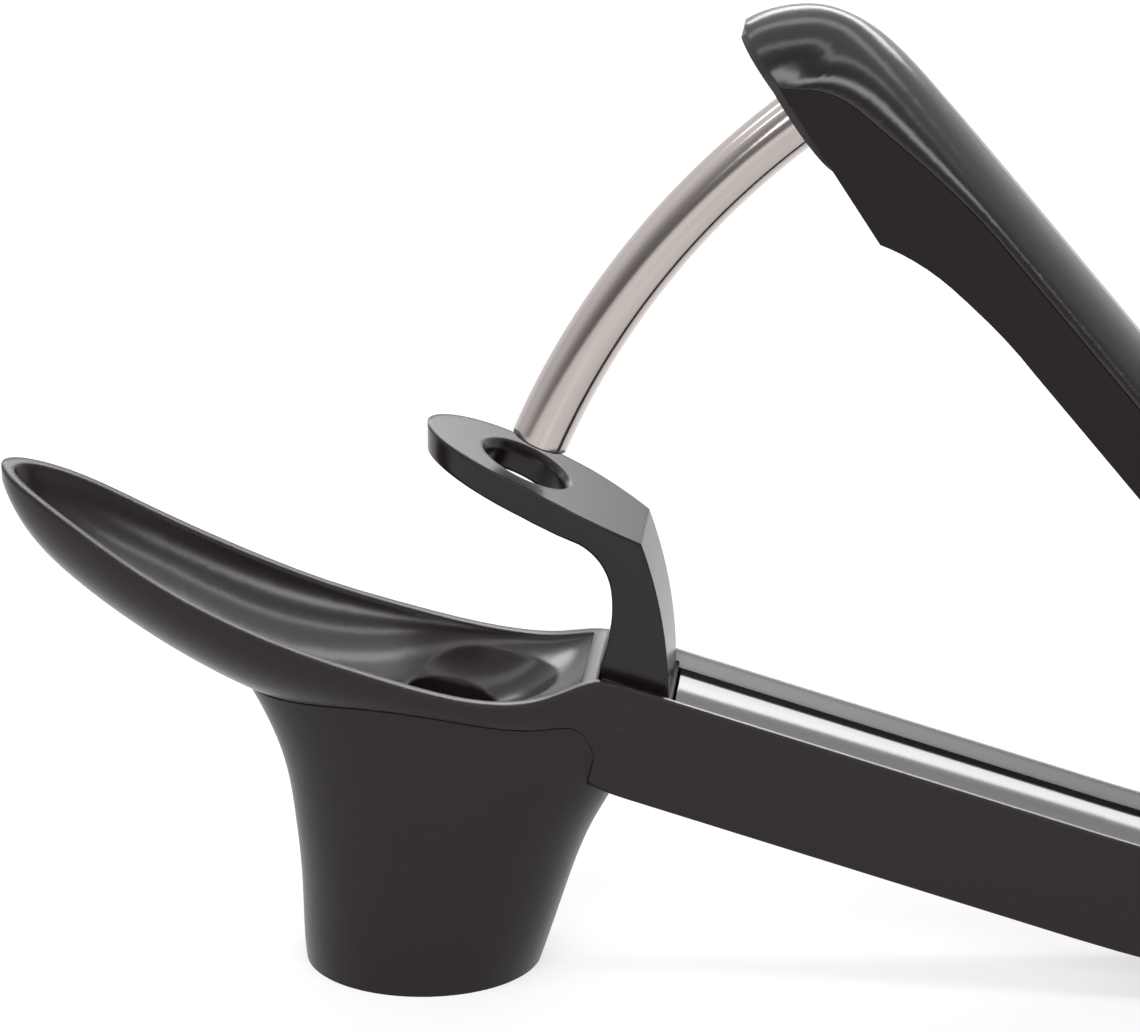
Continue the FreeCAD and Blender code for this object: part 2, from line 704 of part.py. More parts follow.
# Splash guard: an open skirt that fits round the collar and ends against the dish.
guard_outer = feature("guard_outer", guard_cone(0, 0, float(s.guard_top)))
guard_inner = feature("guard_inner", guard_cone(float(s.guard_wall), -1, float(s.guard_top) + 1))
dish_gap = feature("dish_gap", dish_skin(float(s.guard_seam)))
handle_gap = feature("handle_gap", handle_bar(float(s.guard_seam)))
bow_gap = feature("bow_gap", handle_bow(float(s.guard_seam)))
splash_guard = keep(
    cut("splash_guard", guard_outer, guard_inner, dish_gap, handle_gap, bow_gap), "splash_guard"
)

# Guide bridge: its side profile, cut to its plan and to its front view.

def bridge_profile():
    """The bridge's goose neck seen from the side, with its foot and flange."""
    corner = point(s.bridge_corner_x, 0, s.bridge_corner_z)
    nose = point(s.bridge_nose_x, 0, s.bridge_nose_z)
    crown = point(s.guide_hole_x, 0, s.guide_hole_z)
    along = (corner - crown).normalize()
    down = Vector(along.z, 0, -along.x) * float(s.bridge_plate)
    rear_top = foot_point(corner.x + float(s.post_depth), half_depth - 1.5)
    rear_mid = Vector((corner.x + rear_top.x) / 2 + 0.95, 0, (corner.z + rear_top.z) / 2)
    front_foot = foot_point(post_front, foot_top)
    front_low = foot_point(post_front, half_depth + 0.6)
    inner_top = corner + down + along * -6.5
    inner_high = inner_top + Vector(2.7, 0, -3.0)
    inner_mid = Vector(corner.x - 3.5, 0, corner.z - 10.1)
    flange_low = foot_point(flange_end, foot_top)
    flange_high = foot_point(flange_end, flange_top)
    step = foot_point(post_rear, flange_top)
    nose_under = nose + down * 0.92
    return [
        Part.Arc(nose, crown, corner).toShape(),
        Part.Arc(corner, rear_mid, rear_top).toShape(),
        Part.makeLine(rear_top, step),
        Part.makeLine(step, flange_high),
        Part.makeLine(flange_high, flange_low),
        Part.makeLine(flange_low, front_foot),
        Part.makeLine(front_foot, front_low),
        spline([front_low, inner_mid, inner_high, inner_top]),
        Part.makeLine(inner_top, nose_under),
        Part.makeLine(nose_under, nose),
    ]


post_front = float(s.channel_start + s.foot_fit)
post_rear = float(s.bridge_corner_x + s.post_depth + s.post_step)


def foot_point(x, offset):
    """A point on the handle's upright section whose own X is given."""
    return Vector(x, 0, handle_point(x, 0).z + offset / math.cos(slope))


def bridge_plan():
    """The bridge seen from above: a round nose, a plate that narrows to the post, and the flange."""
    nose = float(s.bridge_nose_x)
    hole = float(s.guide_hole_x)
    wide = float(s.bridge_half_width)
    narrow = float(s.post_half_width)
    corner = float(s.bridge_corner_x)
    centre = Vector(hole, 0, 0)
    reach = hole - nose
    if reach >= wide:
        ellipse = Part.Ellipse(centre - Vector(reach, 0, 0), centre - Vector(0, wide, 0), centre)
        round_nose = [ellipse.toShape(-math.pi / 2, 0), ellipse.toShape(0, math.pi / 2)]
    else:
        ellipse = Part.Ellipse(centre + Vector(0, wide, 0), centre - Vector(reach, 0, 0), centre)
        round_nose = [ellipse.toShape(0, math.pi / 2), ellipse.toShape(math.pi / 2, math.pi)]
    shoulder = hole + (corner - hole) * 0.55
    sides = []
    for sign in (1, -1):
        sides.append(
            spline([
                Vector(hole, sign * wide, 0),
                Vector(shoulder, sign * (wide + 0.05), 0),
                Vector(corner, sign * narrow, 0),
            ])
        )
        sides.append(Part.makeLine(Vector(corner, sign * narrow, 0), Vector(60, sign * narrow, 0)))
    back = Part.makeLine(Vector(60, narrow, 0), Vector(60, -narrow, 0))
    return Part.__sortEdges__(round_nose + sides + [back])


def bridge_front():
    """The bridge seen from the front: a narrow post that spreads into the plate."""
    wide = float(s.bridge_half_width) + 0.2
    narrow = float(s.post_half_width)
    plate = float(s.bridge_corner_z) + 1.5
    neck = plate - 7
    edges = []
    for sign in (1, -1):
        edges.append(Part.makeLine(Vector(0, sign * narrow, 15), Vector(0, sign * narrow, neck)))
        edges.append(
            spline([
                Vector(0, sign * narrow, neck),
                Vector(0, sign * (narrow + (wide - narrow) * 0.5), neck + 4),
                Vector(0, sign * wide, plate),
            ])
        )
        edges.append(Part.makeLine(Vector(0, sign * wide, plate), Vector(0, sign * wide, 90)))
    edges.append(Part.makeLine(Vector(0, -narrow, 15), Vector(0, narrow, 15)))
    edges.append(Part.makeLine(Vector(0, -wide, 90), Vector(0, wide, 90)))
    return Part.__sortEdges__(edges)


side_view = feature("bridge_side", extruded(bridge_profile(), Vector(0, 24, 0)).translate(Vector(0, -12, 0)))
plan_view = feature("bridge_plan", extruded(bridge_plan(), Vector(0, 0, 100)))
front_view = feature("bridge_front", extruded(bridge_front(), Vector(80, 0, 0)).translate(Vector(-5, 0, 0)))
hole_axis = slanted_axis(float(s.guide_hole_z))
hole_middle = point(s.guide_hole_x, 0, s.guide_hole_z)
guide_hole = cylinder("guide_hole", s.guide_hole_radius, 12, hole_middle - hole_axis * 8, hole_axis)
SINK_SPREAD = 1.6
SINK_DEPTH = 2.0
SINK_BELOW = 0.9
sink = doc.addObject("Part::Cone", "guide_hole_sink")
bind(sink, "Radius1", s.guide_hole_radius)
bind(sink, "Radius2", s.guide_hole_radius + SINK_SPREAD)
bind(sink, "Height", SINK_DEPTH)
sink.Placement = Placement(hole_middle - hole_axis * SINK_BELOW, Rotation(Z_AXIS, hole_axis))
flange_holes = []
for number, x in enumerate(BRIDGE_SCREW_X, start=1):
    seat, up = across_handle(x, foot_top)
    flange_holes.append(
        cylinder(f"flange_hole_{number}", s.screw_radius + s.screw_fit, 4, seat - up, up)
    )
    seat, up = across_handle(x, flange_seat)
    flange_holes.append(cylinder(f"flange_bore_{number}", s.screw_head + s.screw_fit, 4, seat, up))
foot_half = hollow_half - float(s.foot_fit)
foot_high = half_depth - float(s.foot_drop)
foot_strip = handle_strip(CHANNEL_FROM, 40.0, foot_top, foot_high, foot_half)
foot_bar = upright_start(foot_strip, post_front)
behind_post = Part.makeBox(100, 100, 100, Vector(post_rear, -50, -20))
bridge_foot = feature("bridge_foot", foot_bar.cut(behind_post))
bridge_blank = fuse("bridge_blank", common("bridge_neck", side_view, plan_view, front_view), bridge_foot)
guide_bridge = keep(cut("guide_bridge", bridge_blank, guide_hole, sink, *flange_holes), "guide_bridge")

# Handle inlay: a thin strip that follows the handle, with an end wall and two screw bosses.
inlay_half = hollow_half - float(s.inlay_gap)
inlay_start, inlay_end = post_rear + float(s.inlay_gap), float(s.inlay_end)
inlay_bar = handle_strip(inlay_start - 3, inlay_end, inlay_under, inlay_top, inlay_half)
inlay_strip = feature("inlay_strip", upright_start(inlay_bar, inlay_start))
end_wall = feature(
    "inlay_end_wall",
    handle_strip(inlay_end - float(s.inlay_thickness), inlay_end, channel_floor + 0.1, inlay_top, inlay_half),
)
inlay_bosses = []
inlay_holes = []
boss_radius = s.screw_radius + s.boss_wall
boss_height = inlay_under - channel_floor
for number, x in enumerate(INLAY_SCREW_X, start=1):
    base, up = across_handle(x, channel_floor + 0.05)
    inlay_bosses.append(cylinder(f"inlay_boss_{number}", boss_radius, boss_height + 0.3, base, up))
    inlay_holes.append(
        cylinder(f"inlay_hole_{number}", s.screw_radius, s.screw_bite + 0.8, base - up * 0.4, up)
    )

# Lock: a thumb pad on the inlay, a stem through its slot, and a tongue under it that slides to the rear.
lock_tilt = math.radians(handle_tilt(float(s.lock_x)))
lock_place = Placement(handle_point(float(s.lock_x), 0), Rotation(Y_AXIS, math.degrees(lock_tilt)))
TONGUE_TIP = 6.3
TONGUE_THICKNESS = 1.2
tongue_top = inlay_under - 0.25
tongue_low = tongue_top - TONGUE_THICKNESS
pad_bottom = inlay_top + 0.2
lock_half = float(s.lock_width) / 2
travel = float(s.lock_travel)


def lock_box(name, start, end, low, high, half):
    """A box in the lock's own frame: along the slide, up from the handle's middle, and to each side."""
    item = box(name, end - start, 2 * half, high - low, Vector(start, -half, low))
    item.Placement = lock_place.multiply(item.Placement)
    return item


pad = lock_box("lock_pad", -4.5, 3.0 - travel, pad_bottom, pad_bottom + 1.5, 4.2)
grip_ribs = [
    lock_box(f"lock_rib_{number}", x, x + 0.5, pad_bottom + 1.4, pad_bottom + 1.9, 3.2)
    for number, x in enumerate((-3.9, -2.9, -1.9), start=1)
]
stem = lock_box("lock_stem", -3.6, -2.2, tongue_top - 0.5, pad_bottom + 0.5, 1.4)
tongue = lock_box("lock_tongue", -5.0, TONGUE_TIP, tongue_low, tongue_top, lock_half)
lock_slider = keep(fuse("lock_slider", pad, stem, tongue, *grip_ribs), "lock_slider")
stem_slot = lock_box("stem_slot", -3.9, -1.9 + travel, inlay_under - 2, inlay_top + 2, 1.6)
slot_end = TONGUE_TIP + 2.7
tongue_slot = lock_box("tongue_slot", 1, slot_end, tongue_low - 0.3, tongue_top + 0.2, lock_half + 0.3)
inlay_blank = fuse("inlay_blank", inlay_strip, end_wall, *inlay_bosses)
handle_inlay = keep(cut("handle_inlay", inlay_blank, *inlay_holes, stem_slot, tongue_slot), "handle_inlay")

# Lever. Its pieces are drawn along -X from the hinge and then turned to the open pose.
# A place on the lever is given as u, the distance from the hinge, and v, the height square to it.

UNDERSIDE = [(96.0, -4.4), (102.0, -4.5), (107.0, -5.0), (111.5, -5.7), (115.5, -6.9), (118.9, -8.5)]
SEAM = [
    (109.0, 2.3), (119.9, 1.6), (126.5, 0.6), (130.5, -0.1), (133.9, -0.8), (136.5, -2.0), (138.7, -4.1),
    (140.2, -5.85),
]
CROWN = [
    (120.0, 6.4), (126.8, 6.35), (132.1, 6.15), (136.8, 5.5), (140.5, 4.2), (143.4, 2.2), (145.5, -0.5),
    (146.9, -3.4), (147.4, -5.4),
]
lever_angle = math.radians(float(s.lever_angle))
lever_half = float(s.lever_width) / 2
knuckle_half = float(s.knuckle_width) / 2
under = -float(s.lever_under)
seam = float(s.lever_seam)
crown = float(s.lever_crown)
nose_start = float(s.lever_length - s.nose_length)


def on_lever(u, v, y=0.0):
    return Vector(-u, y, v)


def lever_half_width(u):
    """Half-width of the lever: narrow at the knuckle, full in the grip, rounded at the nose."""
    start, end = float(s.lever_taper_start), float(s.lever_taper_end)
    if u <= start:
        return knuckle_half
    if u < end:
        blend = (u - start) / (end - start)
        return knuckle_half + (lever_half - knuckle_half) * blend
    if u <= nose_start:
        return lever_half
    into_nose = (u - nose_start) / (float(s.lever_length) + 0.1 - nose_start)
    return lever_half * math.sqrt(max(1 - into_nose ** 2, 0))


def seam_v(u):
    return seam if u <= SEAM[0][0] else interpolated(SEAM, min(u, SEAM[-1][0]))


def crown_v(u):
    return crown if u <= CROWN[0][0] else interpolated(CROWN, min(u, CROWN[-1][0]))


def frame_profile():
    """The lever's lower shell seen from the side: knuckle, tail, grip and head."""
    knuckle = float(s.pivot_z - s.handle_floor - s.stop_gap)
    tail = float(s.tail_radius)
    down = Vector(math.sin(lever_angle), 0, -math.cos(lever_angle))
    back = Vector(math.cos(lever_angle), 0, math.sin(lever_angle))
    facet_start = down * knuckle
    facet_end = facet_start + back * math.sqrt(tail * tail - knuckle * knuckle)
    tail_top = on_lever(-math.sqrt(tail * tail - seam * seam), seam)
    tail_middle = (facet_end + tail_top).normalize() * tail
    knuckle_front = on_lever(math.sqrt(knuckle * knuckle - under * under), under)
    knuckle_middle = (facet_start + knuckle_front).normalize() * knuckle
    underside = [on_lever(*place) for place in UNDERSIDE]
    return [
        Part.makeLine(tail_top, on_lever(*SEAM[0])),
        spline([on_lever(*place) for place in SEAM]),
        Part.makeLine(on_lever(*SEAM[-1]), underside[-1]),
        spline(underside[::-1]),
        Part.makeLine(underside[0], knuckle_front),
        Part.Arc(knuckle_front, knuckle_middle, facet_start).toShape(),
        Part.makeLine(facet_start, facet_end),
        Part.Arc(facet_end, tail_middle, tail_top).toShape(),
    ]


PLAN_STEPS = (14.0, 50.0, 137.5, 138.0, 138.5, 139.0, 139.5, 140.0, 140.5)


def lever_plan(inset, start, end):
    """The lever seen from above between two distances, drawn in by the inset."""
    steps = [start] + [u for u in PLAN_STEPS if start < u < end] + [end]
    near = [Vector(-u, -(lever_half_width(u) - inset), 0) for u in steps]
    far = [Vector(-u, lever_half_width(u) - inset, 0) for u in steps[::-1]]
    return polyline(near + far)


def grip_hollow():
    """The space inside the lower shell, above its floor."""
    wall = float(s.lever_wall)
    floor = [on_lever(u, v + wall) for u, v in UNDERSIDE]
    front = 129.0
    floor_front = on_lever(front, -8.5 + (front - 118.9) * 0.125 + wall)
    roof = 12.0
    edges = [
        Part.makeLine(on_lever(6.0, under + wall), floor[0]),
        spline(floor),
        Part.makeLine(floor[-1], floor_front),
        Part.makeLine(floor_front, on_lever(front, roof)),
        Part.makeLine(on_lever(front, roof), on_lever(6.0, roof)),
        Part.makeLine(on_lever(6.0, roof), on_lever(6.0, under + wall)),
    ]
    return extruded(edges, Vector(0, 30, 0)).translate(Vector(0, -15, 0))


def crown_section(u, inset, drop):
    """One arched section of the cover: a flat base on the seam and half an ellipse over it."""
    base = seam_v(u) + float(s.cover_gap) - drop
    arch_base = seam_v(u) + float(s.cover_gap)
    rise = crown_v(u) - inset - arch_base
    wide = lever_half_width(u) - inset
    centre = on_lever(u, arch_base)
    if wide >= rise:
        ellipse = Part.Ellipse(centre + Vector(0, wide, 0), centre + Vector(0, 0, rise), centre)
        arcs = [(0, math.pi / 2), (math.pi / 2, math.pi)]
    else:
        ellipse = Part.Ellipse(centre + Vector(0, 0, rise), centre + Vector(0, -wide, 0), centre)
        arcs = [(-math.pi / 2, 0), (0, math.pi / 2)]
    edges = [ellipse.toShape(*arc) for arc in arcs]
    left = on_lever(u, base, -wide)
    right = on_lever(u, base, wide)
    if drop > 0:
        edges.append(Part.makeLine(on_lever(u, arch_base, -wide), left))
        edges.append(Part.makeLine(left, right))
        edges.append(Part.makeLine(right, on_lever(u, arch_base, wide)))
    else:
        edges.append(Part.makeLine(left, right))
    return Part.Wire(Part.__sortEdges__(edges))


COVER_STEPS = (
    -4.5, 4.0, 13.0, 15.0, 26.0, 38.0, 49.0, 51.0, 70.0, 90.0, 108.0, 114.0, 120.0, 126.0, 130.5,
    134.0, 136.5, 138.5, 140.2, 142.0, 143.8, 145.3, 146.4, 147.1, 147.35,
)


def cover_skin():
    """The cover's outer form, with upright sides that run on below its lower edge."""
    return Part.makeLoft([crown_section(u, 0, 2.0) for u in COVER_STEPS], True, False)


def below_cover():
    """The outline of all that lies below the cover's lower edge, which follows the seam and then the nose."""
    gap = float(s.cover_gap)
    edge = [on_lever(u, v + gap) for u, v in SEAM]
    rear, rear_deep = on_lever(-20.0, seam + gap), on_lever(-20.0, -20.0)
    nose, nose_deep = on_lever(170.0, SEAM[-1][1] + gap), on_lever(170.0, -20.0)
    straight = [rear_deep, rear, edge[0]]
    front = [edge[-1], nose, nose_deep, rear_deep]
    lines = [Part.makeLine(a, b) for a, b in list(zip(straight, straight[1:])) + list(zip(front, front[1:]))]
    return Part.__sortEdges__(lines + [spline(edge)])


def cover_hollow():
    steps = [-9.0] + [u for u in COVER_STEPS if 0 < u < 138] + [139.0]
    return Part.makeLoft([crown_section(u, float(s.lever_wall), 1.0) for u in steps], True, False)


def on_side(name, edges):
    return feature(name, extruded(edges, Vector(0, 30, 0)).translate(Vector(0, -15, 0)))


# The spring's coil: its sweep in degrees, and its length along the hinge.
coil_sweep = 180 - float(s.lever_angle) - float(s.leg_droop) + 360 * float(s.coil_turns)
coil_length = coil_sweep / 360 * float(s.coil_pitch)


# Rod: a bent tube from its tip below the lever to its upper end in the head's socket.
tip = on_lever(s.rod_tip_u.number, s.rod_tip_v.number)
top = on_lever(s.rod_top_u.number, s.rod_top_v.number)
bend = float(s.rod_bend)
chord = top - tip
toward_hinge = Vector(chord.z, 0, -chord.x).normalize()
rod_centre = (tip + top) * 0.5 + toward_hinge * math.sqrt(bend * bend - chord.Length ** 2 / 4)
rod_start = (tip - rod_centre).normalize()
rod_end = (top - rod_centre).normalize()
rod_sweep = math.degrees(rod_start.getAngle(rod_end))
rod_frame = Rotation(rod_start, Y_AXIS.cross(rod_start), Y_AXIS, "XYZ")


def rod_form(name, radius, sweep=rod_sweep):
    """A round bar along the rod's centre line."""
    item = doc.addObject("Part::Torus", name)
    bind(item, "Radius1", s.rod_bend)
    bind(item, "Radius2", radius)
    item.Angle3 = sweep
    item.Placement = Placement(rod_centre, rod_frame)
    return item


def along_rod(height):
    """The rod's centre and direction at a height above the hinge's level."""
    offset = height - rod_centre.z
    reach = math.sqrt(bend * bend - offset * offset)
    return Vector(rod_centre.x - reach, 0, height), Vector(offset, 0, reach).normalize()


PIN_HEIGHT = -3.0
PIN_LENGTH = 13.0
pin_place, _ = along_rod(PIN_HEIGHT)
pin_end_near = pin_place - Y_AXIS * (PIN_LENGTH / 2)
rod_pin = keep(cylinder("rod_pin", s.rod_pin_radius, PIN_LENGTH, pin_end_near, Y_AXIS), "rod_pin")
pin_bore = cylinder("rod_pin_hole", s.rod_pin_radius + 0.01, 15, pin_place - Y_AXIS * 7.5, Y_AXIS)
rod_bar = rod_form("rod_bar", s.rod_radius)
plunger_rod = keep(cut("plunger_rod", rod_bar, rod_form("rod_bore", s.rod_bore), pin_bore), "plunger_rod")

# Lever frame: a narrow tray with the knuckle at one end and the rod's socket at the other.
frame_blank = common(
    "frame_blank",
    on_side("frame_side", frame_profile()),
    feature(
        "frame_plan", extruded(lever_plan(0, -8.0, 141.0), Vector(0, 0, 30)).translate(Vector(0, 0, -15))
    ),
)
frame_hollow = common(
    "frame_hollow",
    feature("grip_hollow", grip_hollow()),
    feature(
        "hollow_plan",
        extruded(lever_plan(float(s.lever_wall), 5.0, 130.0), Vector(0, 0, 40)).translate(Vector(0, 0, -20)),
    ),
)
socket_half = float(s.rod_radius) + float(s.socket_wall)
socket_front = float(s.rod_top_u) + socket_half - 0.5
SOCKET_FLOOR = -5.8
SOCKET_HEIGHT = 6.8
socket_corner = Vector(-socket_front, -socket_half, SOCKET_FLOOR)
socket = box("rod_socket", 2 * socket_half - 1, 2 * socket_half, SOCKET_HEIGHT, socket_corner)
slot_half = knuckle_half - float(s.cheek)
spring_slot = box("spring_slot", 16.0, 2 * slot_half, 12, Vector(-8.0, -slot_half, -8.0))
bush_hole = cylinder("bush_hole", s.bush_radius + 0.01, 20, Vector(0, -10, 0), Y_AXIS)
COVER_SCREW_U = (62.0, 111.0)
cover_screw_length = s.lever_wall - s.screw_head_height + s.screw_bite + 0.4
cover_screws = []
frame_cuts = []
cover_bosses = []
cover_holes = []
for number, u in enumerate(COVER_SCREW_U, start=1):
    floor_v = under if u < UNDERSIDE[0][0] else interpolated(UNDERSIDE, u)
    seat = on_lever(u, floor_v + counterbore_depth)
    cover_screws.append(screw(f"cover_screw_{number}", seat, -Z_AXIS, cover_screw_length))
    head_bore = cylinder(f"cover_bore_{number}", s.screw_head + s.screw_fit, 4, seat - Z_AXIS * 4, Z_AXIS)
    shank_bore = cylinder(f"cover_clear_{number}", s.screw_radius + s.screw_fit, 6, seat - Z_AXIS, Z_AXIS)
    frame_cuts += [head_bore, shank_bore]
    boss_u = u - float(boss_radius)
    boss_floor = under if boss_u < UNDERSIDE[0][0] else interpolated(UNDERSIDE, boss_u)
    boss_foot = boss_floor + float(s.lever_wall) + 0.1
    cover_bosses.append(
        cylinder(f"cover_boss_{number}", boss_radius, crown - 0.8 - boss_foot, on_lever(u, boss_foot), Z_AXIS)
    )
    cover_holes.append(
        cylinder(f"cover_hole_{number}", s.screw_radius, cover_screw_length + 1.4, seat - Z_AXIS, Z_AXIS)
    )
cover_screw_group = group("cover_screws", cover_screws)
cover_screw_group.Placement = LEVER

# The lock's catch is a hook under the lever, drawn where it lies when the lever is closed.
closed = Placement(PIVOT, Rotation(Y_AXIS, float(s.lever_angle - s.lever_closing)))


def catch_box(name, start, end, low, high, half):
    item = lock_box(name, start, end, low, high, half)
    item.Placement = closed.inverse().multiply(item.Placement)
    return item


HOOK_GAP = 0.25
hook_start = TONGUE_TIP + 0.6
slot_depth = hook_start + travel - 0.2
hook = catch_box(
    "catch_hook", hook_start, hook_start + 4.2, tongue_low - 1.5, tongue_top + 6.5, lock_half + 1.2
)
hook_slot = catch_box(
    "catch_slot", hook_start - 1, slot_depth, tongue_low - HOOK_GAP, tongue_top + HOOK_GAP,
    lock_half + HOOK_GAP,
)
hook_part = cut("catch", hook, hook_slot)
lever_frame = keep(
    cut(
        "lever_frame",
        fuse("frame_with_hook", cut("frame_tray", frame_blank, frame_hollow), socket, hook_part),
        spring_slot,
        bush_hole,
        rod_form("rod_passage", s.rod_radius + s.rod_fit, rod_sweep + 4),
        pin_bore,
        *frame_cuts,
    ),
    "lever_frame",
)

# Lever cover: the crowned shell over the frame, with two screw bosses.
coil_relief = cylinder(
    "coil_relief", s.coil_radius + s.wire / 2 + 0.3, 2 * slot_half, Vector(0, -slot_half, 0), Y_AXIS
)
bush_relief = cylinder("bush_relief", s.bush_radius + 0.3, 20, Vector(0, -10, 0), Y_AXIS)
leg_way = Vector(-float(s.coil_radius), float(s.coil_pitch) / (2 * math.pi), 0).normalize()
leg_start = on_lever(0.0, s.coil_radius.number, coil_length / 2) - leg_way
leg_relief = cylinder("leg_relief", s.wire / 2 + 0.35, s.leg_length + 2, leg_start, leg_way)
cover_trim = on_side("below_cover", below_cover())
cover_shell = cut(
    "cover_shell", feature("cover_skin", cover_skin()), cover_trim, feature("cover_hollow", cover_hollow())
)
lever_cover = keep(
    cut(
        "lever_cover",
        fuse("cover_blank", cover_shell, *cover_bosses),
        coil_relief, bush_relief, leg_relief, *cover_holes,
    ),
    "lever_cover",
)

# Rod collar: a thin plate that closes the head's nose and fits round the rod.
PLATE_TOP = [(146.6, -5.82), (140.2, -5.9), (128.0, -7.43)]
PLATE_MIDDLE_U = 137.0
plate_drop = float(s.plate_thickness)
plate_upper = [on_lever(u, v) for u, v in PLATE_TOP]
plate_lower = [on_lever(u, v - plate_drop) for u, v in PLATE_TOP[::-1]]
plate_side = on_side("plate_side", polyline(plate_upper + plate_lower))
plate_centre = on_lever(PLATE_MIDDLE_U, 0.0)
plate_half = lever_half - float(s.plate_inset)
plate_reach = float(s.lever_length - s.plate_inset) - PLATE_MIDDLE_U
plate_oval = Part.Ellipse(
    plate_centre + X_AXIS * plate_reach, plate_centre + Y_AXIS * plate_half, plate_centre
)
plate_plan = feature("plate_plan", extruded([plate_oval.toShape()], Z_AXIS * 30).translate(Z_AXIS * -20))
plate_bore = rod_form("plate_bore", s.rod_radius + s.rod_fit, rod_sweep)
rod_collar = keep(cut("rod_collar", common("plate_blank", plate_side, plate_plan), plate_bore), "rod_collar")

# Hinge
pin_end = s.handle_width / 2 + s.clip + s.pin_tail
cap_height = s.clip + s.pin_tail + s.cap_wall + s.cap_room
pin_head_face = -(s.handle_width / 2 + s.pin_head)
pin_shoulder = -(s.handle_width / 2)
groove_start = s.handle_width / 2
groove_end = s.handle_width / 2 + s.clip + 0.1
groove_radius = s.pin_radius - 0.4
hinge_pin = keep(
    revolved_body(
        "hinge_pin",
        [
            (0, pin_head_face), (s.pin_head_radius, pin_head_face),
            (s.pin_head_radius, pin_shoulder), (s.pin_radius, pin_shoulder),
            (s.pin_radius, groove_start), (groove_radius, groove_start),
            (groove_radius, groove_end), (s.pin_radius, groove_end),
            (s.pin_radius, pin_end), (0, pin_end),
        ],
    ),
    "hinge_pin",
)
hinge_pin.Placement.Base = PIVOT
clip_middle = PIVOT + Y_AXIS * (half_width + float(s.clip) / 2 + 0.05)
clip_ring = ring_body("clip_ring", s.clip_radius, s.pin_radius - 0.38, s.clip)
clip_ring.Placement.Base = clip_middle
clip_mouth = box("clip_mouth", 2.4, 4, 10, clip_middle + Vector(-1.2, -2, 0))
pin_clip = keep(cut("pin_clip", clip_ring, clip_mouth), "pin_clip")
washer_middle = (ear_half + knuckle_half) / 2
cap_wall = s.cap_wall
for side, sign in (("left", -1), ("right", 1)):
    washer_name = f"hinge_washer_{side}"
    washer_ring = ring_body(washer_name, s.washer_radius, s.pin_radius + s.pin_fit, s.washer)
    washer = keep(washer_ring, washer_name)
    washer.Placement.Base = PIVOT + Y_AXIS * (sign * washer_middle)
    cap = keep(
        revolved_body(
            f"hinge_cap_{side}",
            [
                (s.cap_radius - cap_wall, 0), (s.cap_radius, 0), (s.cap_radius, cap_height * 0.55),
                (s.cap_radius - 0.9, cap_height), (0, cap_height), (0, cap_height - cap_wall),
                (s.cap_radius - 1.3, cap_height - cap_wall), (s.cap_radius - cap_wall, cap_height * 0.5),
            ],
        ),
        f"hinge_cap_{side}",
    )
    turn = Rotation(X_AXIS, 180) if sign < 0 else Rotation()
    cap.Placement = Placement(PIVOT + Y_AXIS * (sign * (half_width + 0.02)), turn)
bush_ring = ring_body("hinge_bush", s.bush_radius, s.pin_radius + s.pin_fit, s.knuckle_width)
hinge_bush = keep(bush_ring, "hinge_bush")
hinge_bush.Placement.Base = PIVOT


# Return spring: one wire with a leg on the handle's floor, a coil round the bush and a leg under the cover.

def coil_point(turn):
    """A place on the coil's centre line and its direction, for a turn counted in degrees from its start."""
    radius, pitch = float(s.coil_radius), float(s.coil_pitch)
    start = math.radians(float(s.leg_droop) - 90)
    angle = start + math.radians(turn)
    place = Vector(radius * math.cos(angle), turn / 360 * pitch - coil_length / 2, radius * math.sin(angle))
    direction = Vector(-radius * math.sin(angle), pitch / (2 * math.pi), radius * math.cos(angle)).normalize()
    return place, direction


def biarc(a, along_a, b, along_b):
    """Two arcs that leave a and reach b in the given directions."""
    gap = b - a
    both = along_a + along_b
    flat = 2 * (1 - along_a.dot(along_b))
    reach = (-gap.dot(both) + math.sqrt(gap.dot(both) ** 2 + flat * gap.dot(gap))) / flat
    joint = (a + along_a * reach + b - along_b * reach) * 0.5
    return [arc_from(a, along_a, joint), arc_from(b, along_b * -1, joint, True)]


def arc_from(start, along, end, turned=False):
    """The arc that leaves start in a direction and passes through end."""
    chord = end - start
    inward = (chord - along * chord.dot(along)).normalize()
    radius = chord.dot(chord) / (2 * chord.dot(inward))
    centre = start + inward * radius
    middle = centre + ((start - centre) + (end - centre)).normalize() * radius
    if turned:
        return Part.Arc(end, middle, start).toShape()
    return Part.Arc(start, middle, end).toShape()


quarters = max(round(coil_sweep / 90), 1)
places = [coil_point(coil_sweep * step / quarters) for step in range(quarters + 1)]
first, first_way = places[0]
last, last_way = places[-1]
leg = float(s.leg_length)
wire_path = [Part.makeLine(first - first_way * leg, first)]
for (a, along_a), (b, along_b) in zip(places, places[1:]):
    wire_path += biarc(a, along_a, b, along_b)
wire_path.append(Part.makeLine(last, last + last_way * leg))
wire_section = Part.Wire(
    [Part.Circle(first - first_way * leg, first_way, float(s.wire) / 2).toShape()]
)
spring_wire = Part.Wire(wire_path).makePipeShell([wire_section], True, False)
return_spring = keep(feature("return_spring", spring_wire), "return_spring")
return_spring.Placement.Base = PIVOT


def least_gap(edges, wire):
    """The least gap between a wire and itself, over points half a turn or more apart along it."""
    points = []
    for edge in edges:
        points += edge.discretize(Distance=0.25)
    walked = [0.0]
    for a, b in zip(points, points[1:]):
        walked.append(walked[-1] + a.distanceToPoint(b))
    apart = math.pi * float(s.coil_radius)
    least = math.inf
    for i, a in enumerate(points):
        for b, way in zip(points[i + 1:], walked[i + 1:]):
            if way - walked[i] > apart:
                least = min(least, a.distanceToPoint(b))
    return least - wire


print("least gap between the spring and itself", round(least_gap(wire_path, float(s.wire)), 3), "mm")

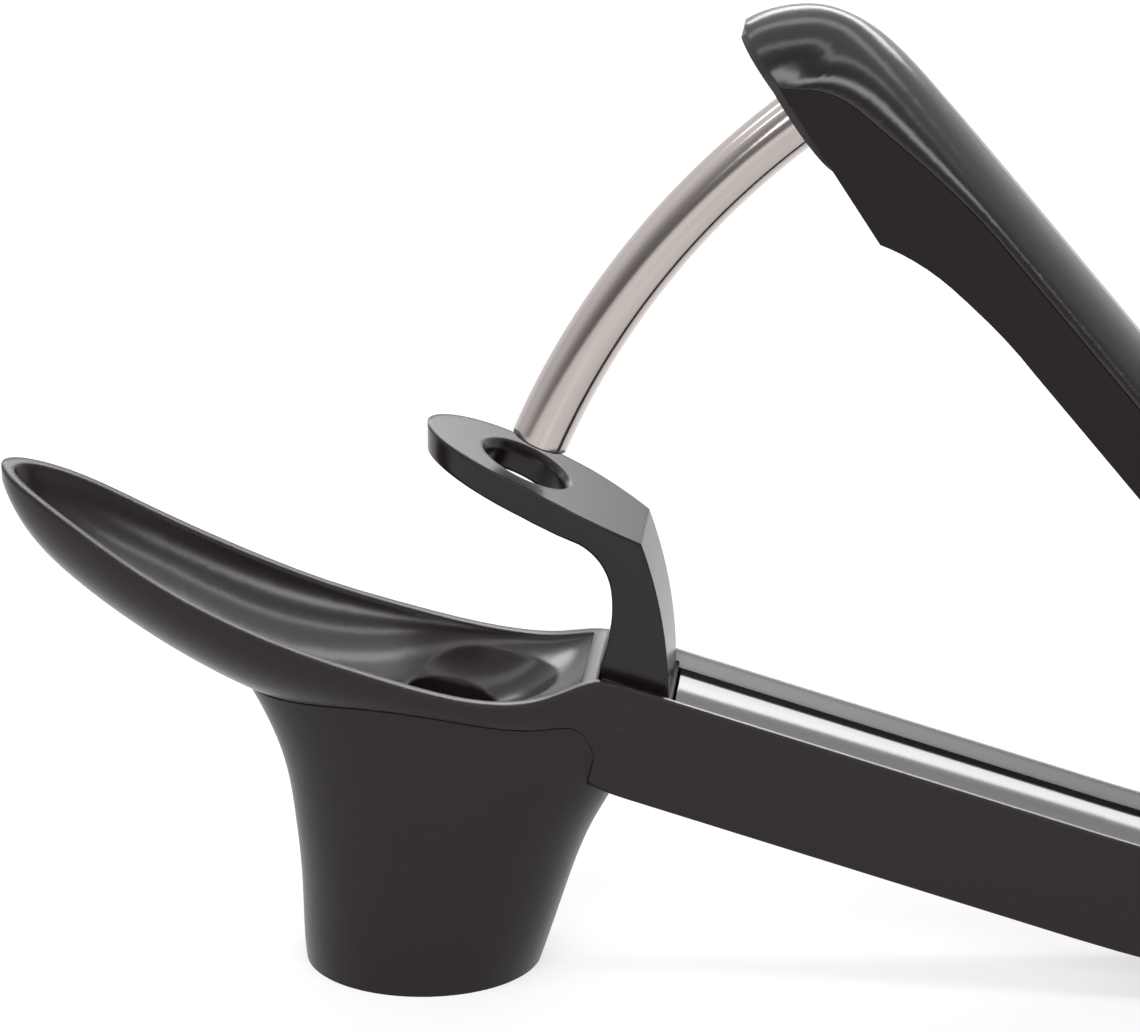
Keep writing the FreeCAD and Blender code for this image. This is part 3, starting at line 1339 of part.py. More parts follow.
for item in (plunger_rod, rod_pin, rod_collar, lever_frame, lever_cover):
    item.Placement = LEVER.multiply(item.Placement) if item is rod_pin else LEVER

doc.recompute()
faults = []
for item in doc.Objects:
    if "Invalid" in item.State or "Error" in item.State:
        faults.append(item.Name)
for item in pieces:
    if item.Shape.isNull() or not item.Shape.isValid():
        faults.append(f"{item.Label} shape")
if faults:
    raise RuntimeError(f"these did not build: {faults}")
os.makedirs("parts", exist_ok=True)
for item in pieces:
    item.Shape.exportStep(f"parts/{item.Label}.step")
    print(item.Label, len(item.Shape.Solids), "solids", round(item.Shape.Volume, 1), "mm3")
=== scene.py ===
import math

import bpy
import numpy as np
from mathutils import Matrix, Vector


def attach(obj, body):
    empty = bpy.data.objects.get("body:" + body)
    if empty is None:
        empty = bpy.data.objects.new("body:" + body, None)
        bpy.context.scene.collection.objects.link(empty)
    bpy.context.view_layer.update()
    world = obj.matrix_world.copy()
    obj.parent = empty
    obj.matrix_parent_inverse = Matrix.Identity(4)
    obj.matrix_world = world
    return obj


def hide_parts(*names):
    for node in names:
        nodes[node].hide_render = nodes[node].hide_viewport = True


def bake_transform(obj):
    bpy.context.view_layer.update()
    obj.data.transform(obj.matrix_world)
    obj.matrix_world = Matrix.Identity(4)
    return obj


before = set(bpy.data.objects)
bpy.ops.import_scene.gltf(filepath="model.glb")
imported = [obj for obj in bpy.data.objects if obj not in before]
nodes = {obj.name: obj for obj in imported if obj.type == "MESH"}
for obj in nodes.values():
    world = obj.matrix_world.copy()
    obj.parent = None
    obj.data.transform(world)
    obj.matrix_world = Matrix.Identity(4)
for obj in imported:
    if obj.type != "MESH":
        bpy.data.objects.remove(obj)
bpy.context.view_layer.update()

# Cherry pitter with lever, standing on its splash guard. Lengths are in metres.
# +X runs along the handle to the hinge, +Y goes away from the camera and +Z is up.

MM = 0.001


# Node tools

def fill(made, values):
    """Set a node's sockets; an underscore in a name stands for a space."""
    for name, value in values.items():
        made.inputs[name.replace("_", " ")].default_value = value


def node(tree, kind, **values):
    """A shader node of one kind, with the given socket values."""
    made = tree.nodes.new(kind)
    fill(made, values)
    return made


def combine(tree, operation, first, second):
    """What a Math node puts out for an output and a second output, or an output and a number."""
    made = node(tree, "ShaderNodeMath")
    made.operation = operation
    tree.links.new(first, made.inputs[0])
    if isinstance(second, float):
        made.inputs[1].default_value = second
    else:
        tree.links.new(second, made.inputs[1])
    return made.outputs[0]


def effect(name, inputs):
    """A node group that puts out a colour, a roughness and a height; inputs are (name, kind, value)."""
    group = bpy.data.node_groups.new(name, "ShaderNodeTree")
    for label, kind, value in inputs:
        socket = group.interface.new_socket(name=label, in_out="INPUT", socket_type=kind)
        socket.default_value = value
    for label, kind in [("Colour", "Color"), ("Roughness", "Float"), ("Height", "Float")]:
        group.interface.new_socket(name=label, in_out="OUTPUT", socket_type="NodeSocket" + kind)
    return group, group.nodes.new("NodeGroupInput"), group.nodes.new("NodeGroupOutput")


# Sockets of the Mix node when it mixes colours, by number because their names repeat
MIX_FACTOR, MIX_FIRST, MIX_SECOND, MIX_RESULT = 0, 6, 7, 2


def put_out(group, source, sink, other_colour, mask, uneven, height):
    """Join up what an effect puts out.

    The colour is mixed with the other colour by the mask. The roughness is the given one plus the
    spread times (uneven minus one half), where uneven is a texture between 0 and 1.
    """
    link = group.links.new
    shade = group.nodes.new("ShaderNodeMix")
    shade.data_type = "RGBA"
    link(mask, shade.inputs[MIX_FACTOR])
    link(source.outputs["Colour"], shade.inputs[MIX_FIRST])
    link(source.outputs[other_colour], shade.inputs[MIX_SECOND])
    scaled = node(group, "ShaderNodeMath")
    scaled.operation = "MULTIPLY_ADD"
    link(combine(group, "SUBTRACT", uneven, 0.5), scaled.inputs[0])
    link(source.outputs["Spread"], scaled.inputs[1])
    link(source.outputs["Roughness"], scaled.inputs[2])
    link(shade.outputs[MIX_RESULT], sink.inputs["Colour"])
    link(scaled.outputs[0], sink.inputs["Roughness"])
    link(height, sink.inputs["Height"])


def moulded_skin():
    """Moulded plastic: a slow drift of gloss, faint rubbed spots of another shade, and a fine grain."""
    group, source, sink = effect("moulded_skin", [
        ("Colour", "NodeSocketColor", (0.01, 0.01, 0.01, 1)),
        ("Rubbed", "NodeSocketColor", (0.03, 0.03, 0.03, 1)),
        ("Roughness", "NodeSocketFloat", 0.35),
        ("Spread", "NodeSocketFloat", 0.08),
        ("Grain Size", "NodeSocketFloat", 2500.0),
    ])
    place = group.nodes.new("ShaderNodeTexCoord")
    drift = node(group, "ShaderNodeTexNoise", Scale=55.0, Detail=4.0, Roughness=0.55)
    spots = node(group, "ShaderNodeTexNoise", Scale=420.0, Detail=3.0, Roughness=0.6)
    grain = node(group, "ShaderNodeTexNoise", Detail=2.0, Roughness=0.5)
    for texture in (drift, spots, grain):
        group.links.new(place.outputs["Object"], texture.inputs["Vector"])
    group.links.new(source.outputs["Grain Size"], grain.inputs["Scale"])
    rubbed = node(group, "ShaderNodeMapRange", From_Min=0.62, From_Max=0.82, To_Min=0.0, To_Max=0.5)
    group.links.new(spots.outputs["Fac"], rubbed.inputs["Value"])
    mask, uneven, height = rubbed.outputs["Result"], drift.outputs["Fac"], grain.outputs["Fac"]
    put_out(group, source, sink, "Rubbed", mask, uneven, height)
    return group


def drawn_metal():
    """Metal that was drawn or turned: fine lines along one axis, with slight stains."""
    group, source, sink = effect("drawn_metal", [
        ("Vector", "NodeSocketVector", (0, 0, 0)),
        ("Colour", "NodeSocketColor", (0.6, 0.6, 0.6, 1)),
        ("Stain", "NodeSocketColor", (0.4, 0.38, 0.36, 1)),
        ("Roughness", "NodeSocketFloat", 0.2),
        ("Spread", "NodeSocketFloat", 0.1),
    ])
    lines = node(group, "ShaderNodeTexNoise", Scale=1.0, Detail=5.0, Roughness=0.65)
    stains = node(group, "ShaderNodeTexNoise", Scale=0.35, Detail=3.0, Roughness=0.5)
    for texture in (lines, stains):
        group.links.new(source.outputs["Vector"], texture.inputs["Vector"])
    amount = node(group, "ShaderNodeMapRange", From_Min=0.42, From_Max=0.72, To_Min=0.0, To_Max=0.75)
    group.links.new(stains.outputs["Fac"], amount.inputs["Value"])
    mask, uneven = amount.outputs["Result"], lines.outputs["Fac"]
    put_out(group, source, sink, "Stain", mask, uneven, height=uneven)
    return group


SKIN = moulded_skin()
METAL = drawn_metal()

# How far the highest grain or drawn line stands out where a finish shows it in full
RELIEF = 0.1 * MM
EDGE_SAMPLES = 6


def textured(name, group, bump, **values):
    """A material that takes its colour, roughness and relief from an effect with the given values.

    Gives back the material, its shader, the effect's node and the Bump node.
    """
    made = bpy.data.materials.new(name)
    made.use_nodes = True
    tree = made.node_tree
    shader = tree.nodes["Principled BSDF"]
    pattern = tree.nodes.new("ShaderNodeGroup")
    pattern.node_tree = group
    fill(pattern, values)
    relief = node(tree, "ShaderNodeBump", Strength=bump, Distance=RELIEF)
    tree.links.new(pattern.outputs["Colour"], shader.inputs["Base Color"])
    tree.links.new(pattern.outputs["Roughness"], shader.inputs["Roughness"])
    tree.links.new(pattern.outputs["Height"], relief.inputs["Height"])
    tree.links.new(relief.outputs["Normal"], shader.inputs["Normal"])
    return made, shader, pattern, relief


def plastic(name, colour, rubbed, roughness, spread=0.08, grain=2500.0, bump=0.02, specular=0.5, edge=0.0):
    """A moulded plastic finish; the edge is the radius that sharp edges are shaded with."""
    made, shader, _, relief = textured(
        name, SKIN, bump,
        Colour=(*colour, 1), Rubbed=(*rubbed, 1), Roughness=roughness, Spread=spread, Grain_Size=grain,
    )
    shader.inputs["Specular IOR Level"].default_value = specular
    if edge > 0:
        rounding = node(made.node_tree, "ShaderNodeBevel", Radius=edge)
        rounding.samples = EDGE_SAMPLES
        made.node_tree.links.new(rounding.outputs["Normal"], relief.inputs["Normal"])
    return made


def metal(name, colour, stain, roughness, spread, stretch, bump=0.03, uv=False):
    """A drawn or turned metal; the stretch scales the pattern along X, Y and Z, or along U and V."""
    made, shader, pattern, _ = textured(
        name, METAL, bump, Colour=(*colour, 1), Stain=(*stain, 1), Roughness=roughness, Spread=spread,
    )
    tree = made.node_tree
    place = tree.nodes.new("ShaderNodeTexCoord")
    mapping = node(tree, "ShaderNodeMapping", Scale=stretch)
    tree.links.new(place.outputs["UV" if uv else "Object"], mapping.inputs["Vector"])
    tree.links.new(mapping.outputs["Vector"], pattern.inputs["Vector"])
    shader.inputs["Metallic"].default_value = 1.0
    return made


# Finishes: each has its colour, the colour of its rubbed spots or stains, and its roughness

body_charcoal = plastic(
    "body_charcoal", (0.0150, 0.0100, 0.0122), (0.021, 0.016, 0.018), 0.28,
    specular=0.24, edge=0.9 * MM,
)
guard_charcoal = plastic(
    "guard_charcoal", (0.0140, 0.0098, 0.0118), (0.019, 0.015, 0.017), 0.33, specular=0.24,
)
bridge_black = plastic(
    "bridge_black", (0.0090, 0.0055, 0.0075), (0.014, 0.010, 0.012), 0.24,
    spread=0.05, grain=900.0, bump=0.01, specular=0.32, edge=0.7 * MM,
)
inlay_gloss = plastic(
    "inlay_gloss", (0.016, 0.012, 0.014), (0.020, 0.017, 0.018), 0.09,
    spread=0.03, grain=600.0, bump=0.006, edge=0.2 * MM,
)
lever_satin = plastic(
    "lever_satin", (0.0090, 0.0052, 0.0077), (0.013, 0.009, 0.011), 0.36,
    specular=0.18, edge=0.25 * MM,
)
cover_gloss = plastic(
    "cover_gloss", (0.010, 0.007, 0.009), (0.016, 0.013, 0.0145), 0.20,
    spread=0.05, grain=900.0, bump=0.008, edge=0.25 * MM,
)
collar_black = plastic("collar_black", (0.006, 0.0045, 0.0055), (0.012, 0.010, 0.011), 0.45)
bearing_pale = plastic("bearing_pale", (0.70, 0.68, 0.62), (0.6, 0.58, 0.52), 0.42)

# The same scale along all three axes makes an even, fine-grained steel.
EVEN = (900.0, 900.0, 900.0)
rod_steel = metal(
    "rod_steel", (0.52, 0.475, 0.455), (0.20, 0.165, 0.155), 0.14,
    spread=0.10, stretch=(2.2, 14.0, 1.0), bump=0.02, uv=True,
)
screw_steel = metal(
    "screw_steel", (0.56, 0.56, 0.57), (0.44, 0.44, 0.45), 0.3, spread=0.15, stretch=EVEN,
)
spring_steel = metal(
    "spring_steel", (0.40, 0.40, 0.42), (0.30, 0.30, 0.31), 0.28, spread=0.15, stretch=EVEN,
)
wire_steel = metal(
    "wire_steel", (0.40, 0.40, 0.42), (0.30, 0.30, 0.31), 0.26,
    spread=0.15, stretch=(120.0, 3.0, 1.0), uv=True,
)

# The body's plastic turns smoother between these two places along X, by this much roughness.
SMOOTHER_FROM, SMOOTHER_TO = -4 * MM, 14 * MM
SMOOTHER_BY = 0.08

# The polish in the bowl ends at an oval round this place on the middle line. It is full inside this
# share of the oval, and before the cup, where it fades between two places along X.
BOWL_CENTRE = -5 * MM
BOWL_HALF_LENGTH, BOWL_HALF_WIDTH = 43.48 * MM, 12.195 * MM
BOWL_FULL_SHARE = 0.92
BOWL_FADE_END, BOWL_FADE_START = 0.0, -6 * MM

# The channel's polish starts behind the bridge's post, and both lie on faces that look upward: these
# are the Z parts of the surface's direction at which the polish starts and is full.
CHANNEL_FROM, CHANNEL_FULL = 26 * MM, 31 * MM
UPWARD_FROM, UPWARD_FULL = 0.15, 0.35
POLISH_ROUGHNESS = 0.2

# Rise of the inlay's hollow face, for each square metre of squared distance from its middle line
INLAY_HOLLOW = 7.0


def ramp_along(tree, axis, start, end):
    """A mask that goes smoothly from 0 to 1 between two places along an axis."""
    place = tree.nodes.new("ShaderNodeTexCoord")
    parts = tree.nodes.new("ShaderNodeSeparateXYZ")
    ramp = node(tree, "ShaderNodeMapRange", From_Min=start, From_Max=end)
    ramp.interpolation_type = "SMOOTHSTEP"
    tree.links.new(place.outputs["Object"], parts.inputs["Vector"])
    tree.links.new(parts.outputs[axis], ramp.inputs["Value"])
    return ramp.outputs["Result"]


def polish_behind_cup():
    """The body is satin at the dish and smoother on the shelf and the handle behind the cup."""
    tree = body_charcoal.node_tree
    roughness = tree.nodes["Principled BSDF"].inputs["Roughness"]
    satin = roughness.links[0].from_socket
    behind = ramp_along(tree, "X", SMOOTHER_FROM, SMOOTHER_TO)
    change = combine(tree, "MULTIPLY", behind, -SMOOTHER_BY)
    tree.links.new(combine(tree, "ADD", change, satin), roughness)


def polish_upward_faces():
    """The bowl and the handle's channel keep the mould's polish: a clear coat where they look upward.

    The mask is the greater of the bowl's and the channel's, times the upward part. The bowl's falls
    with the length of (X from the centre over the half-length, Y over the half-width).
    """
    tree = body_charcoal.node_tree
    shader = tree.nodes["Principled BSDF"]
    place = tree.nodes.new("ShaderNodeTexCoord")
    oval = node(
        tree, "ShaderNodeMapping",
        Location=(-BOWL_CENTRE / BOWL_HALF_LENGTH, 0.0, 0.0),
        Scale=(1 / BOWL_HALF_LENGTH, 1 / BOWL_HALF_WIDTH, 0.0),
    )
    reach = tree.nodes.new("ShaderNodeVectorMath")
    reach.operation = "LENGTH"
    inside = node(tree, "ShaderNodeMapRange", From_Min=1.0, From_Max=BOWL_FULL_SHARE)
    tree.links.new(place.outputs["Object"], oval.inputs["Vector"])
    tree.links.new(oval.outputs["Vector"], reach.inputs[0])
    tree.links.new(reach.outputs["Value"], inside.inputs["Value"])
    before_cup = ramp_along(tree, "X", BOWL_FADE_END, BOWL_FADE_START)
    bowl = combine(tree, "MULTIPLY", inside.outputs["Result"], before_cup)
    channel = ramp_along(tree, "X", CHANNEL_FROM, CHANNEL_FULL)
    either = combine(tree, "MAXIMUM", bowl, channel)
    facing = tree.nodes.new("ShaderNodeSeparateXYZ")
    upward = node(tree, "ShaderNodeMapRange", From_Min=UPWARD_FROM, From_Max=UPWARD_FULL)
    tree.links.new(place.outputs["Normal"], facing.inputs["Vector"])
    tree.links.new(facing.outputs["Z"], upward.inputs["Value"])
    polished = combine(tree, "MULTIPLY", either, upward.outputs["Result"])
    tree.links.new(polished, shader.inputs["Coat Weight"])
    shader.inputs["Coat Roughness"].default_value = POLISH_ROUGHNESS


def hollow_inlay():
    """The inlay is shaded as hollow across.

    Its height is INLAY_HOLLOW times the squared distance from its middle line.
    """
    tree = inlay_gloss.node_tree
    relief = tree.nodes["Bump"]
    rounded = relief.inputs["Normal"].links[0].from_socket
    place = tree.nodes.new("ShaderNodeTexCoord")
    parts = tree.nodes.new("ShaderNodeSeparateXYZ")
    hollow = node(tree, "ShaderNodeBump", Strength=1.0, Distance=1.0)
    tree.links.new(place.outputs["Object"], parts.inputs["Vector"])
    squared = combine(tree, "MULTIPLY", parts.outputs["Y"], parts.outputs["Y"])
    tree.links.new(combine(tree, "MULTIPLY", squared, INLAY_HOLLOW), hollow.inputs["Height"])
    tree.links.new(rounded, hollow.inputs["Normal"])
    tree.links.new(hollow.outputs["Normal"], relief.inputs["Normal"])


polish_behind_cup()
polish_upward_faces()
hollow_inlay()

FINISH = {
    "lower_body": body_charcoal, "splash_guard": guard_charcoal, "guide_bridge": bridge_black,
    "handle_inlay": inlay_gloss, "lever_frame": lever_satin, "lever_cover": cover_gloss,
    "plunger_rod": rod_steel, "rod_collar": collar_black, "bridge_screws": screw_steel,
    "inlay_screws": screw_steel, "cover_screws": screw_steel, "rod_pin": screw_steel,
    "hinge_pin": screw_steel, "hinge_bush": bearing_pale, "pin_clip": spring_steel,
    "hinge_cap_left": bridge_black, "hinge_cap_right": bridge_black,
    "hinge_washer_left": bearing_pale, "hinge_washer_right": bearing_pale,
    "return_spring": spring_steel, "lock_slider": bridge_black,
}
for name, finish in FINISH.items():
    nodes[name].data.materials.clear()
    nodes[name].data.materials.append(finish)


# Pieces worked out as surfaces

HINGE_WAY = np.array([0.0, 1.0, 0.0])
PIVOT = np.array([136.8, 0.0, 7.3]) * MM

# The open lever leans this far up from the handle; one way runs up along it, the other off its back.
LEAN = math.radians(49.9)
UP_LEVER = np.array([-math.cos(LEAN), 0.0, math.sin(LEAN)])
OFF_LEVER = np.array([math.sin(LEAN), 0.0, math.cos(LEAN)])

# The tube: its ends as distances up and off the lever, the bend of its centre line, its radii, the
# rounding of its lip, and how far up inside its bore is made
TUBE_TIP = (123.65 * MM, -56.7 * MM)
TUBE_TOP = (134.05 * MM, 1.2 * MM)
TUBE_BEND = 100 * MM
TUBE_OUTSIDE = 3.42 * MM
TUBE_BORE = 2.5 * MM
TUBE_LIP = 0.3 * MM
BORE_DEPTH = 14 * MM
TUBE_UV_LENGTH = 100 * MM
OUTSIDE_ROWS, LIP_ROWS, BORE_ROWS = 90, 5, 24
TUBE_SIDES = 96

# The return spring: radius of its centre line, rise for each turn, radius of its wire, length of a
# leg, and how far below the handle's direction the first leg points
SPRING_RADIUS = 3.75 * MM
SPRING_PITCH = 1.65 * MM
WIRE_RADIUS = 0.55 * MM
LEG = 12 * MM
LEG_DROOP = math.radians(5.2)
WHOLE_TURNS = 3
WIRE_UV_LENGTH = 20 * MM
COIL_ROWS, LEG_ROWS = 240, 15
WIRE_SIDES = 20


def surface(name, points, finish, row_uv, side_uv):
    """A closed surface from a grid of points, with U from the rows and V from the sides.

    The grid runs round the piece in its second direction, where the last side joins the first, and
    from end to end in its first, where each end row is drawn together to one point.
    """
    rows, turns = points.shape[:2]
    ends = np.array([points[0].mean(axis=0), points[-1].mean(axis=0)])
    row, side = np.meshgrid(np.arange(rows - 1), np.arange(turns), indexing="ij")
    after = (side + 1) % turns
    a, b = row * turns + side, row * turns + after
    c, d = (row + 1) * turns + after, (row + 1) * turns + side
    walls = np.stack([a, b, c, d], axis=-1).reshape(-1, 4)
    step = np.arange(turns)
    following = (step + 1) % turns
    last = (rows - 1) * turns
    low, high = rows * turns, rows * turns + 1
    low_cap = np.stack([following, step, np.full(turns, low)], axis=-1)
    high_cap = np.stack([last + step, last + following, np.full(turns, high)], axis=-1)
    faces = walls.tolist() + low_cap.tolist() + high_cap.tolist()
    mesh = bpy.data.meshes.new(name)
    mesh.from_pydata(np.vstack([points.reshape(-1, 3), ends]).tolist(), [], faces)
    full = np.ones((rows - 1, turns))
    u0, u1 = row_uv[:-1, None] * full, row_uv[1:, None] * full
    v0, v1 = side_uv[None, :] * full, (side_uv[None, :] + 1.0 / turns) * full
    corners = [np.stack(pair, axis=-1) for pair in ((u0, v0), (u0, v1), (u1, v1), (u1, v0))]
    wall_uv = np.stack(corners, axis=2).reshape(-1, 2)
    cap_uv = np.zeros((2 * turns * 3, 2))
    mesh.uv_layers.new(name="UVMap").data.foreach_set("uv", np.vstack([wall_uv, cap_uv]).ravel())
    mesh.materials.append(finish)
    mesh.polygons.foreach_set("use_smooth", np.ones(len(mesh.polygons), dtype=bool))
    made = bpy.data.objects.new(name, mesh)
    bpy.context.scene.collection.objects.link(made)
    return made


def carried_circle(path, ways, radii, turns):
    """A circle of the given radii carried along a path.

    Each point is the path plus radius times (cos t times the side plus sin t times the rise), where
    the side is the hinge's direction crossed with the path's way, and the rise is the way crossed
    with that side.
    """
    ways = ways / np.linalg.norm(ways, axis=1, keepdims=True)
    side = np.cross(HINGE_WAY, ways)
    side = side / np.linalg.norm(side, axis=1, keepdims=True)
    raised = np.cross(ways, side)
    t = np.linspace(0, 2 * np.pi, turns, endpoint=False)
    ring = np.cos(t)[None, :, None] * side[:, None, :] + np.sin(t)[None, :, None] * raised[:, None, :]
    return path[:, None, :] + np.asarray(radii)[:, None, None] * ring


def walked(path):
    """Distance along a path at each of its points."""
    steps = np.linalg.norm(np.diff(path, axis=0), axis=1)
    return np.concatenate([[0.0], np.cumsum(steps)])


def on_lever(up, off):
    """The place at two distances from the hinge: up along the lever, and off its back."""
    return PIVOT + up * UP_LEVER + off * OFF_LEVER


def steel_tube():
    """The bent tube: an arc from the head down to its tip, a rounded lip, and the bore back up inside.

    The centre line is the arc of a circle that passes through both ends and curves round a centre on
    the hinge's side. The radius follows a profile: the outside, a quarter turn at the lip, and the bore.
    """
    tip, top = on_lever(*TUBE_TIP), on_lever(*TUBE_TOP)
    chord = top - tip
    span = np.linalg.norm(chord)
    inward = np.cross(HINGE_WAY, chord / span)
    if np.dot(inward, PIVOT - tip) < 0:
        inward = -inward
    centre = (tip + top) / 2 + inward * math.sqrt(TUBE_BEND ** 2 - span ** 2 / 4)
    first, last = (tip - centre) / TUBE_BEND, (top - centre) / TUBE_BEND
    sweep = math.acos(float(np.dot(first, last)))
    quarter = np.linspace(0, np.pi / 2, LIP_ROWS + 1)[1:]
    angle = np.concatenate([
        np.linspace(sweep, TUBE_LIP / TUBE_BEND, OUTSIDE_ROWS),
        TUBE_LIP / TUBE_BEND * (1 - np.sin(quarter)),
        np.linspace(TUBE_LIP, BORE_DEPTH, BORE_ROWS) / TUBE_BEND,
    ])
    radii = np.concatenate([
        np.full(OUTSIDE_ROWS, TUBE_OUTSIDE),
        TUBE_OUTSIDE - TUBE_LIP * (1 - np.cos(quarter)),
        np.full(BORE_ROWS, TUBE_BORE),
    ])
    across = (last - first * math.cos(sweep)) / math.sin(sweep)
    path = centre + TUBE_BEND * (np.cos(angle)[:, None] * first + np.sin(angle)[:, None] * across)
    ways = -np.sin(angle)[:, None] * first + np.cos(angle)[:, None] * across
    rows = carried_circle(path, ways, radii, TUBE_SIDES)
    outer = angle[:OUTSIDE_ROWS + LIP_ROWS] * TUBE_BEND
    lengths = np.concatenate([outer, -np.linspace(0, BORE_DEPTH, BORE_ROWS)])
    sides = np.linspace(0, 1, TUBE_SIDES, endpoint=False)
    return surface("steel_tube", rows[:, ::-1], rod_steel, lengths / TUBE_UV_LENGTH, sides)


def wound_spring():
    """The return spring: a straight leg, a helix round the hinge and a second straight leg.

    The helix has the spring's radius, and rises along the hinge by the pitch for each turn. The legs
    run on along the helix's own direction at its two ends.
    """
    sweep = math.pi - LEAN - LEG_DROOP + 2 * math.pi * WHOLE_TURNS
    rise = SPRING_PITCH / (2 * math.pi)
    turn = np.linspace(0, sweep, COIL_ROWS)
    angle = LEG_DROOP - math.pi / 2 + turn
    out, up = SPRING_RADIUS * np.cos(angle), SPRING_RADIUS * np.sin(angle)
    coil = np.stack([out, rise * (turn - sweep / 2), up], axis=-1)
    way = np.stack([-up, np.full_like(angle, rise), out], axis=-1)
    way = way / np.linalg.norm(way, axis=1, keepdims=True)
    leg = np.linspace(LEG, 0, LEG_ROWS + 1)[:-1, None]
    path = PIVOT + np.vstack([coil[0] - way[0] * leg, coil, coil[-1] + way[-1] * leg[::-1]])
    ways = np.vstack([np.repeat(way[:1], LEG_ROWS, axis=0), way, np.repeat(way[-1:], LEG_ROWS, axis=0)])
    rows = carried_circle(path, ways, np.full(len(path), WIRE_RADIUS), WIRE_SIDES)
    sides = np.linspace(0, 1, WIRE_SIDES, endpoint=False)
    made = surface("wound_spring", rows, wire_steel, walked(path) / WIRE_UV_LENGTH, sides)
    return made, coil[0][1], coil[-1][1]


tube = steel_tube()
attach(tube, "lever")
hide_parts("plunger_rod")
spring, spring_near, spring_far = wound_spring()
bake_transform(spring)
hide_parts("return_spring")


# Floor and world

WHITE = (1, 1, 1, 1)
FLOOR_REACH = 4.0
FLOOR_COLOUR = (0.55, 0.54, 0.53, 1)
FLOOR_ROUGHNESS = 0.8
FLOOR_GLOW = 0.56

# The world lights the object at the soft level. In reflections it is white, and falls to the front
# level toward the camera's side of the room, between two parts of its direction along Y.
SOFT_LEVEL = 0.5
FRONT_LEVEL = 0.28
FRONT_FROM, FRONT_TO = -0.85, 0.0


def seen_or_mirrored(tree, rays):
    """1 for a ray from the camera, or one that a reflection or glass sends on, and 0 for the others."""
    either = combine(tree, "MAXIMUM", rays.outputs["Is Camera Ray"], rays.outputs["Is Glossy Ray"])
    return combine(tree, "MAXIMUM", either, rays.outputs["Is Transmission Ray"])


def pale_floor():
    """A flat square floor, white where the camera or a reflection sees it, apart from its shadows."""
    far = FLOOR_REACH
    mesh = bpy.data.meshes.new("floor")
    mesh.from_pydata([(-far, -far, 0), (far, -far, 0), (far, far, 0), (-far, far, 0)], [], [(0, 1, 2, 3)])
    made = bpy.data.objects.new("floor", mesh)
    bpy.context.scene.collection.objects.link(made)
    white = bpy.data.materials.new("floor_white")
    white.use_nodes = True
    tree = white.node_tree
    shader = tree.nodes["Principled BSDF"]
    fill(shader, {
        "Base Color": FLOOR_COLOUR, "Roughness": FLOOR_ROUGHNESS,
        "Specular IOR Level": 0.0, "Emission Color": WHITE,
    })
    shown = seen_or_mirrored(tree, tree.nodes.new("ShaderNodeLightPath"))
    tree.links.new(combine(tree, "MULTIPLY", shown, FLOOR_GLOW), shader.inputs["Emission Strength"])
    mesh.materials.append(white)
    return made


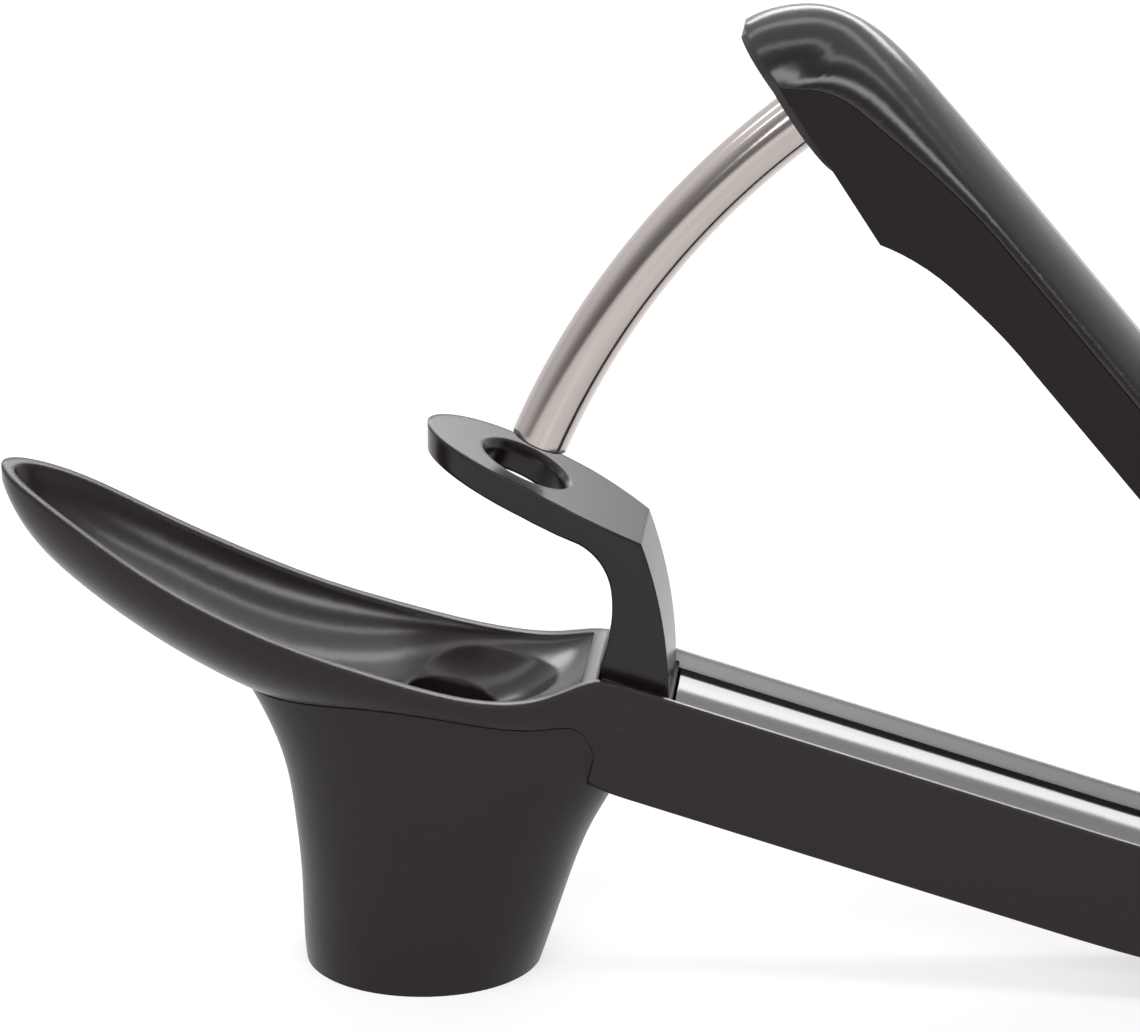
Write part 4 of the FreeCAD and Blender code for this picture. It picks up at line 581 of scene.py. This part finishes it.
def studio_world():
    """The room round the object, as a world of two plain backgrounds."""
    world = bpy.data.worlds.new("studio")
    bpy.context.scene.world = world
    world.use_nodes = True
    sky = world.node_tree
    sky.nodes.clear()
    out = sky.nodes.new("ShaderNodeOutputWorld")
    rays = sky.nodes.new("ShaderNodeLightPath")
    place = sky.nodes.new("ShaderNodeTexCoord")
    way = sky.nodes.new("ShaderNodeSeparateXYZ")
    front = node(
        sky, "ShaderNodeMapRange", From_Min=FRONT_FROM, From_Max=FRONT_TO, To_Min=FRONT_LEVEL, To_Max=1.0,
    )
    front.interpolation_type = "SMOOTHSTEP"
    sky.links.new(place.outputs["Generated"], way.inputs["Vector"])
    sky.links.new(way.outputs["Y"], front.inputs["Value"])
    seen = node(sky, "ShaderNodeBackground", Color=WHITE)
    soft = node(sky, "ShaderNodeBackground", Color=WHITE, Strength=SOFT_LEVEL)
    level = combine(sky, "MAXIMUM", front.outputs["Result"], rays.outputs["Is Camera Ray"])
    choice = sky.nodes.new("ShaderNodeMixShader")
    sky.links.new(level, seen.inputs["Strength"])
    sky.links.new(seen_or_mirrored(sky, rays), choice.inputs[0])
    sky.links.new(soft.outputs[0], choice.inputs[1])
    sky.links.new(seen.outputs[0], choice.inputs[2])
    sky.links.new(choice.outputs[0], out.inputs["Surface"])


floor = pale_floor()
studio_world()


# Lamps and camera

CAMERA_AT = (0.07526, -0.6613, 0.278236)
CAMERA_AIM = (0.017404, 0.0, 0.056123)
SENSOR_WIDTH = 36.0
LENS = 187.33
NEAREST, FARTHEST = 0.01, 20.0


def point_at(thing, place, aim):
    """Put a lamp or a camera at a place and turn it toward another."""
    thing.location = place
    thing.rotation_euler = (Vector(aim) - Vector(place)).to_track_quat("-Z", "Y").to_euler()


def soft_box(name, place, aim, width, height, power):
    """A soft rectangular lamp that points at a place on the object."""
    lamp = bpy.data.lights.new(name, "AREA")
    lamp.shape = "RECTANGLE"
    lamp.size = width
    lamp.size_y = height
    lamp.energy = power
    made = bpy.data.objects.new(name, lamp)
    bpy.context.scene.collection.objects.link(made)
    point_at(made, place, aim)


def photo_camera():
    """The camera, at the photograph's viewing angle."""
    view = bpy.data.cameras.new("camera")
    view.sensor_width = SENSOR_WIDTH
    view.sensor_fit = "HORIZONTAL"
    view.lens = LENS
    view.clip_start = NEAREST
    view.clip_end = FARTHEST
    made = bpy.data.objects.new("camera", view)
    bpy.context.scene.collection.objects.link(made)
    point_at(made, CAMERA_AT, CAMERA_AIM)
    return made


soft_box("strip_behind", (0.05, 0.42, 0.95), (0.04, 0.0, 0.05), width=2.4, height=0.20, power=4.2)
soft_box("strip_before", (0.05, -0.30, 0.98), (0.04, 0.0, 0.05), width=2.4, height=0.14, power=3.2)
soft_box("strip_front", (0.15, -1.0, 0.59), (0.05, 0.0, 0.05), width=1.7, height=0.24, power=8.4)
soft_box("backdrop_glow", (0.12, 1.15, 0.575), (0.05, 0.0, 0.05), width=1.3, height=0.24, power=5.2)

bpy.context.scene.camera = photo_camera()
bpy.context.scene.view_settings.view_transform = "Standard"
